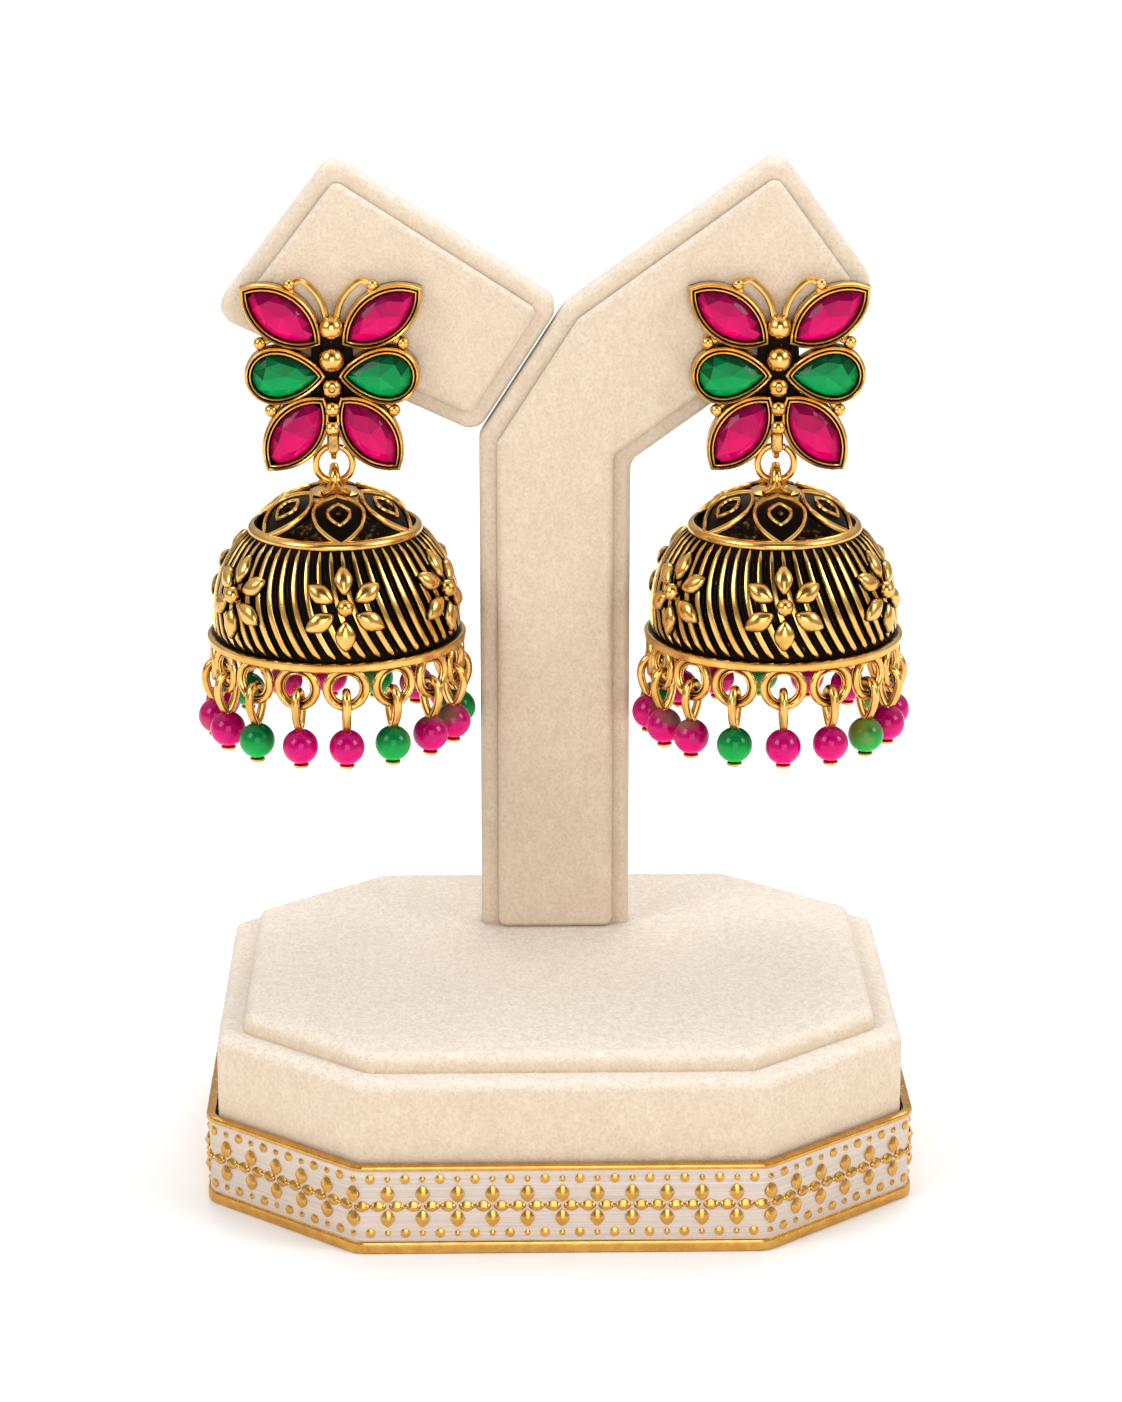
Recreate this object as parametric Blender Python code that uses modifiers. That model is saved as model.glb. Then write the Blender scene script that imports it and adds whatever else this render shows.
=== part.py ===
"""A pair of jhumka earrings on their velvet display stand.

Each earring is a butterfly stud with six stones, a jump ring, and a domed bell with sixteen bead
drops. The stand is a low eight-sided base with a metal band, a bent upright and a left arm.
Metres, +Z up, the front towards -Y. The origin is the middle of the base's underside.
"""

import math

import bmesh
import bpy
from mathutils import Matrix, Vector

# Clearances
GAP = 0.0003  # between two pieces that touch or seat on each other
SWING_GAP = 0.0004  # between the outermost hanging bead and the stem

# Base: a box with cut corners, a raised pad on it and a metal band round its foot
BODY_HALF_WIDTH = 0.0385
BODY_HALF_DEPTH = 0.0329
BODY_CUT_X = 0.0163
BODY_CUT_Y = 0.0139
BODY_HEIGHT = 0.0196
BODY_CORNER = 0.0015
SOFT_EDGE = 0.0010
BASE_PAD_INSET = 0.0030
BASE_PAD_THICKNESS = 0.0019
BASE_PAD_EDGE = 0.0006
BAND_HEIGHT = 0.0104
BAND_WALL = 0.0007
BAND_STAND_OFF = 0.0004
TRIM_PROUD = 0.0003
TOP_TRIM = 0.0006
BOTTOM_TRIM = 0.0014

# Upright: the stem and the right arm, cut as one bent board
STEM_HALF_WIDTH = 0.0087
BOARD_THICKNESS = 0.0040
BOARD_FRONT = 0.0108
BOARD_CORNER = 0.0022
INNER_BEND_HEIGHT = 0.0783
BEND_STEP = 0.0031  # the outer bend above the inner one
ARM_TILT = math.radians(36.0)
ARM_WIDTH = 0.0193
ARM_REACH = 0.0347
NOTCH_X = 0.0011

# Left arm: a board of its own, set back a little, against the slanted side of the upright
LEFT_RECESS = 0.0006
LEFT_TOP_TILT = math.radians(33.1)
LEFT_UNDER_TILT = math.radians(24.9)
LEFT_END_TILT = math.radians(52.5)
LEFT_REACH = 0.0312

# Pads on the two boards
FACE_PAD_INSET = 0.0020
FACE_PAD_THICKNESS = 0.0010
FACE_PAD_EDGE = 0.0004

# Butterfly stud, measured from the large bead in the middle of its spine
EAR_RISE = 0.01285  # that bead above the arm's inner bend
SETTING_THICKNESS = 0.0022
SETTING_FLOOR = 0.0007
BEZEL_WALL = 0.0005
STONE_SIDES = 10
STONE_BEVEL = 0.0008
STONE_FOOT = 0.72  # the stone's underside and its table, as shares of its outline
STONE_TABLE = 0.62
PEAR_TAPER = 0.7
SPINE_HALF_WIDTH = 0.0013
SPINE_THICKNESS = 0.0014
SPINE_BEAD_SEAT = 0.0017
TONGUE_HALF_WIDTH = 0.00065
ANTENNA_RADIUS = 0.0003
POST_RADIUS = 0.00045
POST_HOLE_RADIUS = 0.00085
POST_END = 0.0010
NUT_RADIUS = 0.0024
NUT_THICKNESS = 0.0030

# One row for each pair of stones: name, cut, inner end (u, v), outer end (u, v) and width
STONES = (
    ("ruby", "marquise", (0.00195, 0.00225), (0.00945, 0.0076), 0.0045),
    ("emerald", "pear", (0.00165, -0.0019), (0.0091, -0.0019), 0.0050),
    ("ruby", "marquise", (0.00145, -0.0051), (0.0070, -0.0121), 0.0047),
)

# Beads cast on the stud: height above the middle bead, and radius
SPINE_BEADS = (
    (0.00365, 0.0014),
    (0.0, 0.0015),
    (-0.0033, 0.00115),
    (-0.00575, 0.00095),
    (-0.0080, 0.00095),
)
# Small beads between the wings, on both sides: u, v and radius
SIDE_BEADS = (
    (0.0047, 0.0083, 0.0008),
    (0.0078, 0.0018, 0.0009),
    (0.0068, -0.0058, 0.00085),
)
# Points along one antenna, from the first side bead to the spine: u and v
ANTENNA = ((0.0034, 0.0089), (0.0020, 0.0079), (0.0010, 0.0064), (0.0005, 0.0045))

# Jump ring, behind the wings, with the stud's eye at its top and the bell's bail at its bottom
RING_RADIUS = 0.0021
RING_WIRE = 0.00042
RING_DROP = 0.0127  # from the middle bead down to the ring's centre
EYE_RADIUS = 0.0012
EYE_WIRE = 0.00042
BAIL_RADIUS = 0.0015
BAIL_WIRE = 0.00045
BAIL_RISE = 0.0003  # the bail's middle above the hinge

# Bell: sizes measured from its hinge, the bottom of the jump ring, downwards
CAP_DROP = 0.0009
RIM_DROP = 0.0186
RIM_RADIUS = 0.0150
BELL_WALL = 0.0010
BELL_SIDES = 24
PETALS = 6
WINDOW_WIDTH = 0.0054
WINDOW_HEIGHT = 0.0028
WINDOW_LEAN = math.radians(48.0)
LEFT_TURN = math.radians(6.0)
RIGHT_TURN = math.radians(1.0)

# The bell's outer side from cap to rim: share of the rim's radius, share of the bell's height,
# and whether the inside of the wall has a corner there too
BELL_SHARES = (
    (0.165, 0.000, False),
    (0.415, 0.050, True),
    (0.655, 0.255, True),
    (0.845, 0.450, True),
    (0.943, 0.680, False),
    (0.963, 0.945, True),
    (1.000, 0.960, False),
    (1.000, 1.000, False),
)
WINDOW_SHARE = (0.555, 0.165)  # where a window's middle lies, in the same shares

# Loops under the rim, and the drops that hang in them
DROPS = 16
LOOP_CIRCLE = 0.0142
LOOP_RADIUS = 0.0021
LOOP_WIRE = 0.00052
LOOP_SINK = 0.00064  # how far the top of a loop runs into the rim
BEAD_RADIUS = 0.00205
PIN_WIRE = 0.0004
PIN_EYE_HALF_WIDTH = 0.00125
PIN_EYE_HEIGHT = 0.0041
PIN_HEAD_RADIUS = 0.00075
PIN_HEAD = 0.0004
# Beads from the front one round towards +X: P for pink, G for green
DROP_COLOURS = {
    "left": "PGPPGPPGPPGPPPGP",
    "right": "PPGPPGPPGPPGPPPG",
}

EMPTY_SIZE = 0.003  # of an empty, in the viewport only

# How many flat sides stand for each round shape
WIRE_SIDES = 5
HOLE_SIDES = 8
RING_SIDES = 14
RING_WIRE_SIDES = 6
EYE_SIDES = 12
LOOP_SIDES = 10
LOOP_WIRE_SIDES = 4
CAST_BEAD_SIDES = 8
SPINE_BEAD_RINGS = 5
SIDE_BEAD_RINGS = 4
NUT_SIDES = 10
BEAD_SIDES = 10
PIN_EYE_SIDES = 8

# What follows from the sizes above
BEND_HEIGHT = INNER_BEND_HEIGHT + BEND_STEP
EAR_HEIGHT = INNER_BEND_HEIGHT + EAR_RISE
EAR_X = STEM_HALF_WIDTH + SWING_GAP + LOOP_CIRCLE + BEAD_RADIUS
FACE_PAD_FRONT = GAP + FACE_PAD_THICKNESS
RING_HEIGHT = EAR_HEIGHT - RING_DROP
RING_BEHIND = GAP + RING_WIRE  # from the back of the setting to the ring's middle
BELL_HEIGHT = RIM_DROP - CAP_DROP
BEZEL_OFFSET = GAP + BEZEL_WALL
SIDES = ("left", "right")


def clear_scene():
    for obj in list(bpy.data.objects):
        bpy.data.objects.remove(obj, do_unlink=True)


def new_collection(name, parent=None):
    collection = bpy.data.collections.new(name)
    (parent or bpy.context.scene.collection).children.link(collection)
    return collection


def new_material(name, colour, roughness, metallic=0.0):
    material = bpy.data.materials.new(name)
    material.use_nodes = True
    shader = material.node_tree.nodes["Principled BSDF"]
    shader.inputs["Base Color"].default_value = (*colour, 1.0)
    shader.inputs["Roughness"].default_value = roughness
    shader.inputs["Metallic"].default_value = metallic
    return material


def new_empty(name, location, rotation=(0.0, 0.0, 0.0), parent=None):
    empty = bpy.data.objects.new(name, None)
    empty.location = location
    empty.rotation_euler = rotation
    empty.parent = parent
    empty.empty_display_size = EMPTY_SIZE
    parts.objects.link(empty)
    return empty


def add_part(obj, material, parent=None, smooth=False):
    """Puts an object among the parts, with its material."""
    obj.parent = parent
    obj.data.materials.clear()
    obj.data.materials.append(material)
    if smooth:
        obj.data.shade_smooth()
        obj.data.set_sharp_from_angle(angle=math.radians(40.0))
    finished.append(obj)


def mesh_object(name, build):
    """An object whose mesh the function build fills in a bmesh."""
    mesh = bpy.data.meshes.new(name)
    shape = bmesh.new()
    build(shape)
    bmesh.ops.recalc_face_normals(shape, faces=shape.faces)
    shape.to_mesh(mesh)
    shape.free()
    return bpy.data.objects.new(name, mesh)


def mesh_from_curve(name, curve):
    """A curve made a mesh, with its caps welded to its sides."""
    source = bpy.data.objects.new(name, curve)
    helpers.objects.link(source)
    bpy.context.view_layer.update()
    graph = bpy.context.evaluated_depsgraph_get()
    mesh = bpy.data.meshes.new_from_object(source.evaluated_get(graph))
    bpy.data.objects.remove(source)
    bpy.data.curves.remove(curve)
    shape = bmesh.new()
    shape.from_mesh(mesh)
    bmesh.ops.remove_doubles(shape, verts=shape.verts, dist=1e-7)
    bmesh.ops.recalc_face_normals(shape, faces=shape.faces)
    shape.to_mesh(mesh)
    shape.free()
    mesh.name = name
    return bpy.data.objects.new(name, mesh)


def loft(shape, rows, wrap=False):
    """Four-sided faces from each row of points to the next, closed by end faces or a wrap."""
    loops = [[shape.verts.new(point) for point in row] for row in rows]
    following = loops[1:] + loops[:1] if wrap else loops[1:]
    for first, second in zip(loops, following):
        for index in range(len(first)):
            after = (index + 1) % len(first)
            shape.faces.new((first[index], first[after], second[after], second[index]))
    if not wrap:
        shape.faces.new(loops[0])
        shape.faces.new(loops[-1])


def plate(name, outline, low, high, edge=0.0):
    """A flat outline in the XY plane, from one height to another, with its rims cut by edge."""
    rows = [(0.0, low), (0.0, high)]
    if edge:
        rows = [(-edge, low), (0.0, low + edge), (0.0, high - edge), (-edge, high)]

    def build(shape):
        loft(
            shape,
            [[(*point, height) for point in offset(outline, way)] for way, height in rows],
        )

    return mesh_object(name, build)


def wire(name, points, radius, closed=False):
    """A round wire along points, with closed ends."""
    curve = bpy.data.curves.new(name, "CURVE")
    curve.dimensions = "3D"
    curve.bevel_mode = "OBJECT"
    profile = bpy.data.curves.new(name + " profile", "CURVE")
    circle = profile.splines.new("POLY")
    circle.points.add(WIRE_SIDES - 1)
    circle.use_cyclic_u = True
    for index, point in enumerate(circle.points):
        angle = math.tau * index / WIRE_SIDES
        point.co = (radius * math.cos(angle), radius * math.sin(angle), 0.0, 1.0)
    profile_object = bpy.data.objects.new(name + " profile", profile)
    helpers.objects.link(profile_object)
    curve.bevel_object = profile_object
    curve.use_fill_caps = not closed
    spline = curve.splines.new("POLY")
    spline.points.add(len(points) - 1)
    spline.use_cyclic_u = closed
    for point, place in zip(spline.points, points):
        point.co = (*place, 1.0)
    obj = mesh_from_curve(name, curve)
    bpy.data.objects.remove(profile_object)
    bpy.data.curves.remove(profile)
    return obj


def ring(name, major, minor, sides, wire_sides, matrix):
    """A torus round local Z, placed by a matrix."""
    bpy.ops.mesh.primitive_torus_add(
        major_radius=major,
        minor_radius=minor,
        major_segments=sides,
        minor_segments=wire_sides,
    )
    obj = bpy.context.object
    for holder in list(obj.users_collection):
        holder.objects.unlink(obj)
    obj.name = name
    obj.data.name = name
    obj.data.transform(matrix)
    return obj


def ball(name, radius, place, rings):
    def build(shape):
        bmesh.ops.create_uvsphere(
            shape,
            u_segments=CAST_BEAD_SIDES,
            v_segments=rings,
            radius=radius,
            matrix=Matrix.Translation(place),
        )

    return mesh_object(name, build)


def rod(name, radius, low, high, sides, place=(0.0, 0.0)):
    """A cylinder along local Z."""

    def build(shape):
        bmesh.ops.create_cone(
            shape,
            cap_ends=True,
            segments=sides,
            radius1=radius,
            radius2=radius,
            depth=high - low,
            matrix=Matrix.Translation((*place, (low + high) / 2)),
        )

    return mesh_object(name, build)


def turned(name, profile, sides):
    """A profile of (radius, height) from top to bottom, turned round Z."""

    def build(shape):
        corners = [shape.verts.new((radius, 0.0, height)) for radius, height in profile]
        for first, second in zip(corners, corners[1:]):
            shape.edges.new((first, second))

    obj = mesh_object(name, build)
    screw = obj.modifiers.new("turn", "SCREW")
    screw.steps = sides
    screw.render_steps = sides
    screw.use_merge_vertices = True
    screw.merge_threshold = 1e-7
    return obj


def combine(target, operation, tools, parent=None):
    """One Boolean of the target with all the tools, which become hidden helpers."""
    group = new_collection(f"{target.name} {operation.lower()}", helpers)
    for tool in tools:
        tool.parent = parent
        tool.hide_render = True
        tool.display_type = "WIRE"
        group.objects.link(tool)
    modifier = target.modifiers.new(operation.lower(), "BOOLEAN")
    modifier.operation = operation
    modifier.operand_type = "COLLECTION"
    modifier.collection = group


def neighbours(points):
    return zip(points[-1:] + points[:-1], points, points[1:] + points[:1])


def offset(outline, distance):
    """A closed anticlockwise outline moved outwards, with mitred corners."""
    moved = []
    for before, here, after in neighbours(outline):
        first = (here - before).normalized()
        second = (after - here).normalized()
        normal = Vector((first.y, -first.x))
        middle = (normal + Vector((second.y, -second.x))).normalized()
        moved.append(here + middle * distance / middle.dot(normal))
    return moved


def rounded(outline, radius, steps=2):
    """A closed outline with an arc at each corner."""
    points = []
    for before, here, after in neighbours(outline):
        first = (here - before).normalized()
        second = (after - here).normalized()
        turn = math.atan2(first.cross(second), first.dot(second))
        reach = radius * math.tan(abs(turn) / 2)
        start = here - first * reach
        inward = Vector((-first.y, first.x)) * math.copysign(radius, turn)
        centre = start + inward
        for step in range(steps + 1):
            arm = Matrix.Rotation(turn * step / steps, 2) @ -inward
            points.append(centre + arm)
    return points


def along(angle):
    return Vector((math.cos(angle), math.sin(angle)))


def meet(point_a, way_a, point_b, way_b):
    """Where two lines cross."""
    share = (point_b - point_a).cross(way_b) / way_a.cross(way_b)
    return point_a + way_a * share


def base_outline():
    """The box's outline: a rectangle with its four corners cut."""
    x, y = BODY_HALF_WIDTH, BODY_HALF_DEPTH
    corners = (
        (x, BODY_CUT_Y - y),
        (x, y - BODY_CUT_Y),
        (x - BODY_CUT_X, y),
        (BODY_CUT_X - x, y),
        (-x, y - BODY_CUT_Y),
        (-x, BODY_CUT_Y - y),
        (BODY_CUT_X - x, -y),
        (x - BODY_CUT_X, -y),
    )
    return [Vector(corner) for corner in corners]


def upright_outline():
    """The stem and the right arm, seen from the front."""
    arm = along(ARM_TILT)
    across = Vector((-arm.y, arm.x))
    foot = BODY_HEIGHT + GAP
    inner = Vector((STEM_HALF_WIDTH, INNER_BEND_HEIGHT))
    under_end = inner + arm * ARM_REACH
    notch = meet(inner + across * ARM_WIDTH, arm, Vector((NOTCH_X, 0.0)), Vector((0.0, 1.0)))
    return [
        Vector((-STEM_HALF_WIDTH, foot)),
        Vector((STEM_HALF_WIDTH, foot)),
        inner,
        under_end,
        under_end + across * ARM_WIDTH,
        notch,
        Vector((-STEM_HALF_WIDTH, BEND_HEIGHT)),
    ]


def left_arm_outline():
    """The left arm, whose right side lies along the slant of the upright."""
    upright = upright_outline()
    slant_top, slant_foot = upright[5], upright[6]
    slant = (slant_top - slant_foot).normalized()
    aside = Vector((-slant.y, slant.x)) * GAP
    top_right = slant_top + aside
    under_right = slant_foot + aside
    top_left = top_right + LEFT_REACH * along(math.pi - LEFT_TOP_TILT)
    end = along(math.pi + LEFT_END_TILT)
    under_left = meet(top_left, end, under_right, along(math.pi - LEFT_UNDER_TILT))
    return [under_right, top_right, top_left, under_left]


def marquise(length, width):
    """Two arcs from tip to tip, along +X from the inner tip."""
    half = length / 2
    rise = width / 2
    radius = (half * half + rise * rise) / (2 * rise)
    swing = math.asin(half / radius)
    count = STONE_SIDES // 2
    points = []
    for side in (-1, 1):
        for step in range(count):
            angle = side * swing * (1 - 2 * step / count)
            height = radius * math.cos(angle) - (radius - rise)
            points.append(Vector((half + radius * math.sin(angle), side * height)))
    return points


def pear(length, width):
    """A drop outline along +X from its tip."""
    shares = []
    for step in range(STONE_SIDES):
        turn = math.tau * step / STONE_SIDES
        bulge = math.sin(turn) * abs(math.sin(turn / 2)) ** PEAR_TAPER
        shares.append(((1 - math.cos(turn)) / 2, bulge))
    widest = max(bulge for _, bulge in shares)
    return [
        Vector((length * share, -width / 2 * bulge / widest)) for share, bulge in shares
    ]


CUTS = {"marquise": marquise, "pear": pear}


def stone_outlines():
    """(name, outline) of each stone on the stud: right-hand wings first, then left-hand ones."""
    found = []
    counts = {}
    for kind, cut, inner, outer, width in STONES:
        start = Vector(inner)
        way = Vector(outer) - start
        turn = Matrix.Rotation(math.atan2(way.y, way.x), 2)
        shape = [start + turn @ point for point in CUTS[cut](way.length, width)]
        mirrored = [Vector((-point.x, point.y)) for point in reversed(shape)]
        for outline in (shape, mirrored):
            counts[kind] = counts.get(kind, 0) + 1
            found.append((f"{kind}_{counts[kind]}", outline))
    return found


def make_base():
    outline = rounded(base_outline(), BODY_CORNER, 1)
    body = plate("base_body", outline, 0.0, BODY_HEIGHT, SOFT_EDGE)
    add_part(body, velvet)

    low = BODY_HEIGHT + GAP
    high = low + BASE_PAD_THICKNESS
    pad_outline = rounded(offset(base_outline(), -BASE_PAD_INSET), BODY_CORNER, 1)
    pad = plate("base_pad", pad_outline, low, high, BASE_PAD_EDGE)
    slot_front = BOARD_FRONT - FACE_PAD_FRONT - GAP
    slot_back = BOARD_FRONT + BOARD_THICKNESS + GAP
    slot_half = STEM_HALF_WIDTH + GAP
    slot_outline = [
        Vector((-slot_half, slot_front)),
        Vector((slot_half, slot_front)),
        Vector((slot_half, slot_back)),
        Vector((-slot_half, slot_back)),
    ]
    slot = plate("stem slot", slot_outline, BODY_HEIGHT, high + BASE_PAD_THICKNESS)
    combine(pad, "DIFFERENCE", [slot])
    add_part(pad, velvet)
    make_band(outline)


def make_band(body_outline):
    """The metal band: its section is carried round the box, with a trim at both edges."""
    inner = BAND_STAND_OFF
    outer = inner + BAND_WALL
    proud = outer + TRIM_PROUD
    section = (
        (inner, 0.0),
        (proud, 0.0),
        (proud, BOTTOM_TRIM),
        (outer, BOTTOM_TRIM + TRIM_PROUD),
        (outer, BAND_HEIGHT - TOP_TRIM - TRIM_PROUD),
        (proud, BAND_HEIGHT - TOP_TRIM),
        (proud, BAND_HEIGHT),
        (inner, BAND_HEIGHT),
    )

    def build(shape):
        rows = [[(*point, height) for point in offset(body_outline, way)] for way, height in section]
        loft(shape, rows, wrap=True)

    add_part(mesh_object("base_band", build), band_metal)


def make_boards():
    """The upright and the left arm with their pads, drawn in the plane of their faces."""
    boards = (
        ("upright", upright_outline(), BOARD_FRONT, EAR_X),
        ("left_arm", left_arm_outline(), BOARD_FRONT + LEFT_RECESS, -EAR_X),
    )
    for name, outline, front, ear_x in boards:
        plane = new_empty(f"{name}_plane", (0.0, front, 0.0), (math.pi / 2, 0.0, 0.0))
        board_outline = rounded(outline, BOARD_CORNER)
        pad_outline = rounded(offset(outline, -FACE_PAD_INSET), BOARD_CORNER / 2, 1)
        board = plate(f"{name}_board", board_outline, -BOARD_THICKNESS, 0.0, SOFT_EDGE)
        pad = plate(f"{name}_pad", pad_outline, GAP, FACE_PAD_FRONT, FACE_PAD_EDGE)
        for piece in (board, pad):
            hole = rod(
                f"{piece.name} post hole",
                POST_HOLE_RADIUS,
                -2 * BOARD_THICKNESS,
                2 * FACE_PAD_FRONT,
                HOLE_SIDES,
                (ear_x, EAR_HEIGHT + SPINE_BEADS[0][0]),
            )
            combine(piece, "DIFFERENCE", [hole], plane)
            add_part(piece, velvet, plane)


def make_stud(side, ear_x, board_front):
    """The butterfly, its stones and its nut, drawn from the back of the setting outwards."""
    back = board_front - FACE_PAD_FRONT - GAP
    plane = new_empty(
        f"{side}_stud_plane", (ear_x, back, EAR_HEIGHT), (math.pi / 2, 0.0, 0.0)
    )
    stones = stone_outlines()
    spine_outline = [
        Vector((-SPINE_HALF_WIDTH, SPINE_BEADS[-1][0])),
        Vector((SPINE_HALF_WIDTH, SPINE_BEADS[-1][0])),
        Vector((SPINE_HALF_WIDTH, SPINE_BEADS[0][0])),
        Vector((-SPINE_HALF_WIDTH, SPINE_BEADS[0][0])),
    ]
    setting = plate(f"{side}_butterfly_setting", spine_outline, 0.0, SPINE_THICKNESS)
    tongue_foot = RING_RADIUS - RING_DROP - EYE_WIRE
    tongue_outline = [
        Vector((-TONGUE_HALF_WIDTH, tongue_foot)),
        Vector((TONGUE_HALF_WIDTH, tongue_foot)),
        Vector((TONGUE_HALF_WIDTH, SPINE_BEADS[-1][0])),
        Vector((-TONGUE_HALF_WIDTH, SPINE_BEADS[-1][0])),
    ]
    joined = [plate(f"{side} tongue", tongue_outline, 0.0, EYE_RADIUS)]
    for name, outline in stones:
        cup = offset(outline, BEZEL_OFFSET)
        joined.append(plate(f"{side} {name} cup", cup, 0.0, SETTING_THICKNESS))
    for index, (height, radius) in enumerate(SPINE_BEADS):
        place = (0.0, height, SPINE_BEAD_SEAT)
        joined.append(ball(f"{side} spine bead {index}", radius, place, SPINE_BEAD_RINGS))
    for index, (across, height, radius) in enumerate(SIDE_BEADS):
        for way in (-1, 1):
            place = (way * across, height, SETTING_THICKNESS / 2)
            joined.append(
                ball(f"{side} side bead {index} {way}", radius, place, SIDE_BEAD_RINGS)
            )
    for way in (-1, 1):
        stops = (SIDE_BEADS[0][:2], *ANTENNA)
        points = [(way * u, v, SETTING_THICKNESS / 2) for u, v in stops]
        joined.append(wire(f"{side} antenna {way}", points, ANTENNA_RADIUS))
    eye_place = (0.0, RING_RADIUS - RING_DROP, -RING_BEHIND)
    eye_turn = Matrix.Translation(eye_place) @ Matrix.Rotation(math.pi / 2, 4, "Y")
    joined.append(ring(f"{side} eye", EYE_RADIUS, EYE_WIRE, EYE_SIDES, WIRE_SIDES, eye_turn))
    nut_front = -to_nut()
    nut_back = nut_front - NUT_THICKNESS
    post_place = (0.0, SPINE_BEADS[0][0])
    post_back = nut_back - POST_END
    joined.append(
        rod(f"{side} post", POST_RADIUS, post_back, SPINE_THICKNESS / 2, HOLE_SIDES, post_place)
    )
    combine(setting, "UNION", joined, plane)
    pockets = []
    for name, outline in stones:
        pocket = offset(outline, GAP)
        pockets.append(
            plate(f"{side} {name} pocket", pocket, SETTING_FLOOR, 2 * SETTING_THICKNESS)
        )
    combine(setting, "DIFFERENCE", pockets, plane)
    add_part(setting, gold, plane)

    for name, outline in stones:
        make_stone(f"{side}_{name}", outline, plane, ruby if "ruby" in name else emerald)

    nut = rod(f"{side}_ear_nut", NUT_RADIUS, nut_back, nut_front, NUT_SIDES, post_place)
    bore = rod(
        f"{side} nut bore",
        POST_HOLE_RADIUS,
        nut_back - NUT_THICKNESS,
        nut_front + NUT_THICKNESS,
        HOLE_SIDES,
        post_place,
    )
    combine(nut, "DIFFERENCE", [bore], plane)
    add_part(nut, gold, plane, smooth=True)
    return back + RING_BEHIND


def to_nut():
    """From the back of the setting through the board to the nut's front."""
    return GAP + FACE_PAD_FRONT + BOARD_THICKNESS + GAP


def make_stone(name, outline, plane, material):
    """A cut stone: a flat table, a row of facets down to the girdle and a row below it."""
    middle = sum(outline, Vector((0.0, 0.0))) / len(outline)
    girdle = SETTING_FLOOR + GAP + STONE_BEVEL
    rows = (
        (STONE_FOOT, girdle - STONE_BEVEL),
        (1.0, girdle),
        (STONE_TABLE, girdle + STONE_BEVEL),
    )

    def build(shape):
        loft(
            shape,
            [
                [(*(middle + (point - middle) * share), height) for point in outline]
                for share, height in rows
            ],
        )

    add_part(mesh_object(name, build), material, plane)


def bell_profile():
    """The bell's wall from the cap's middle down the outside, and back up the inside."""
    outer = [
        Vector((RIM_RADIUS * share, -CAP_DROP - BELL_HEIGHT * drop))
        for share, drop, _ in BELL_SHARES
    ]
    inner = []
    for before, here, after, row in zip(outer, outer[1:], outer[2:], BELL_SHARES[1:]):
        way = (after - before).normalized()
        if row[2]:
            inner.append(here + Vector((way.y, -way.x)) * BELL_WALL)
    crown = outer[0].y
    return [
        (0.0, crown),
        *[tuple(point) for point in outer],
        (inner[-1].x, outer[-1].y),
        *[tuple(point) for point in reversed(inner)],
        (0.0, crown - BELL_WALL),
    ]


def face_out(turn, radius, height, lean=0.0):
    """Local +Z points out of the bell at an angle from the front, and local Y up."""
    way = Matrix.Rotation(turn, 4, "Z") @ Matrix.Translation((0.0, -radius, height))
    return way @ Matrix.Rotation(math.pi / 2 + lean, 4, "X")


def make_bell(side, turn, hinge):
    """The dome with its pierced cap, bail and loops, measured from the hinge."""
    bell = turned(f"{side}_bell", bell_profile(), BELL_SIDES)
    cuts = []
    for index in range(PETALS):
        angle = turn + math.tau * (index + 0.5) / PETALS
        share, drop = WINDOW_SHARE
        height = -CAP_DROP - drop * BELL_HEIGHT
        place = face_out(angle, share * RIM_RADIUS, height, -WINDOW_LEAN)
        half = WINDOW_WIDTH / 2
        outline = [
            Vector((-half, -WINDOW_HEIGHT / 2)),
            Vector((half, -WINDOW_HEIGHT / 2)),
            Vector((0.0, WINDOW_HEIGHT / 2)),
        ]
        window = plate(f"{side} window {index}", outline, -2 * BELL_WALL, 2 * BELL_WALL)
        window.data.transform(place)
        cuts.append(window)
    combine(bell, "DIFFERENCE", cuts, hinge)

    joined = []
    for index in range(DROPS):
        angle = turn + math.tau * index / DROPS
        place = face_out(angle, LOOP_CIRCLE, loop_height())
        joined.append(
            ring(f"{side} loop {index}", LOOP_RADIUS, LOOP_WIRE, LOOP_SIDES, LOOP_WIRE_SIDES, place)
        )
    upright = Matrix.Translation((0.0, 0.0, BAIL_RISE)) @ Matrix.Rotation(math.pi / 2, 4, "Y")
    joined.append(ring(f"{side} bail", BAIL_RADIUS, BAIL_WIRE, EYE_SIDES, WIRE_SIDES, upright))
    combine(bell, "UNION", joined, hinge)
    add_part(bell, gold, hinge, smooth=True)


def loop_height():
    """The middle of the loops, whose tops run into the rim."""
    return -RIM_DROP + LOOP_SINK - LOOP_WIRE - LOOP_RADIUS


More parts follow.
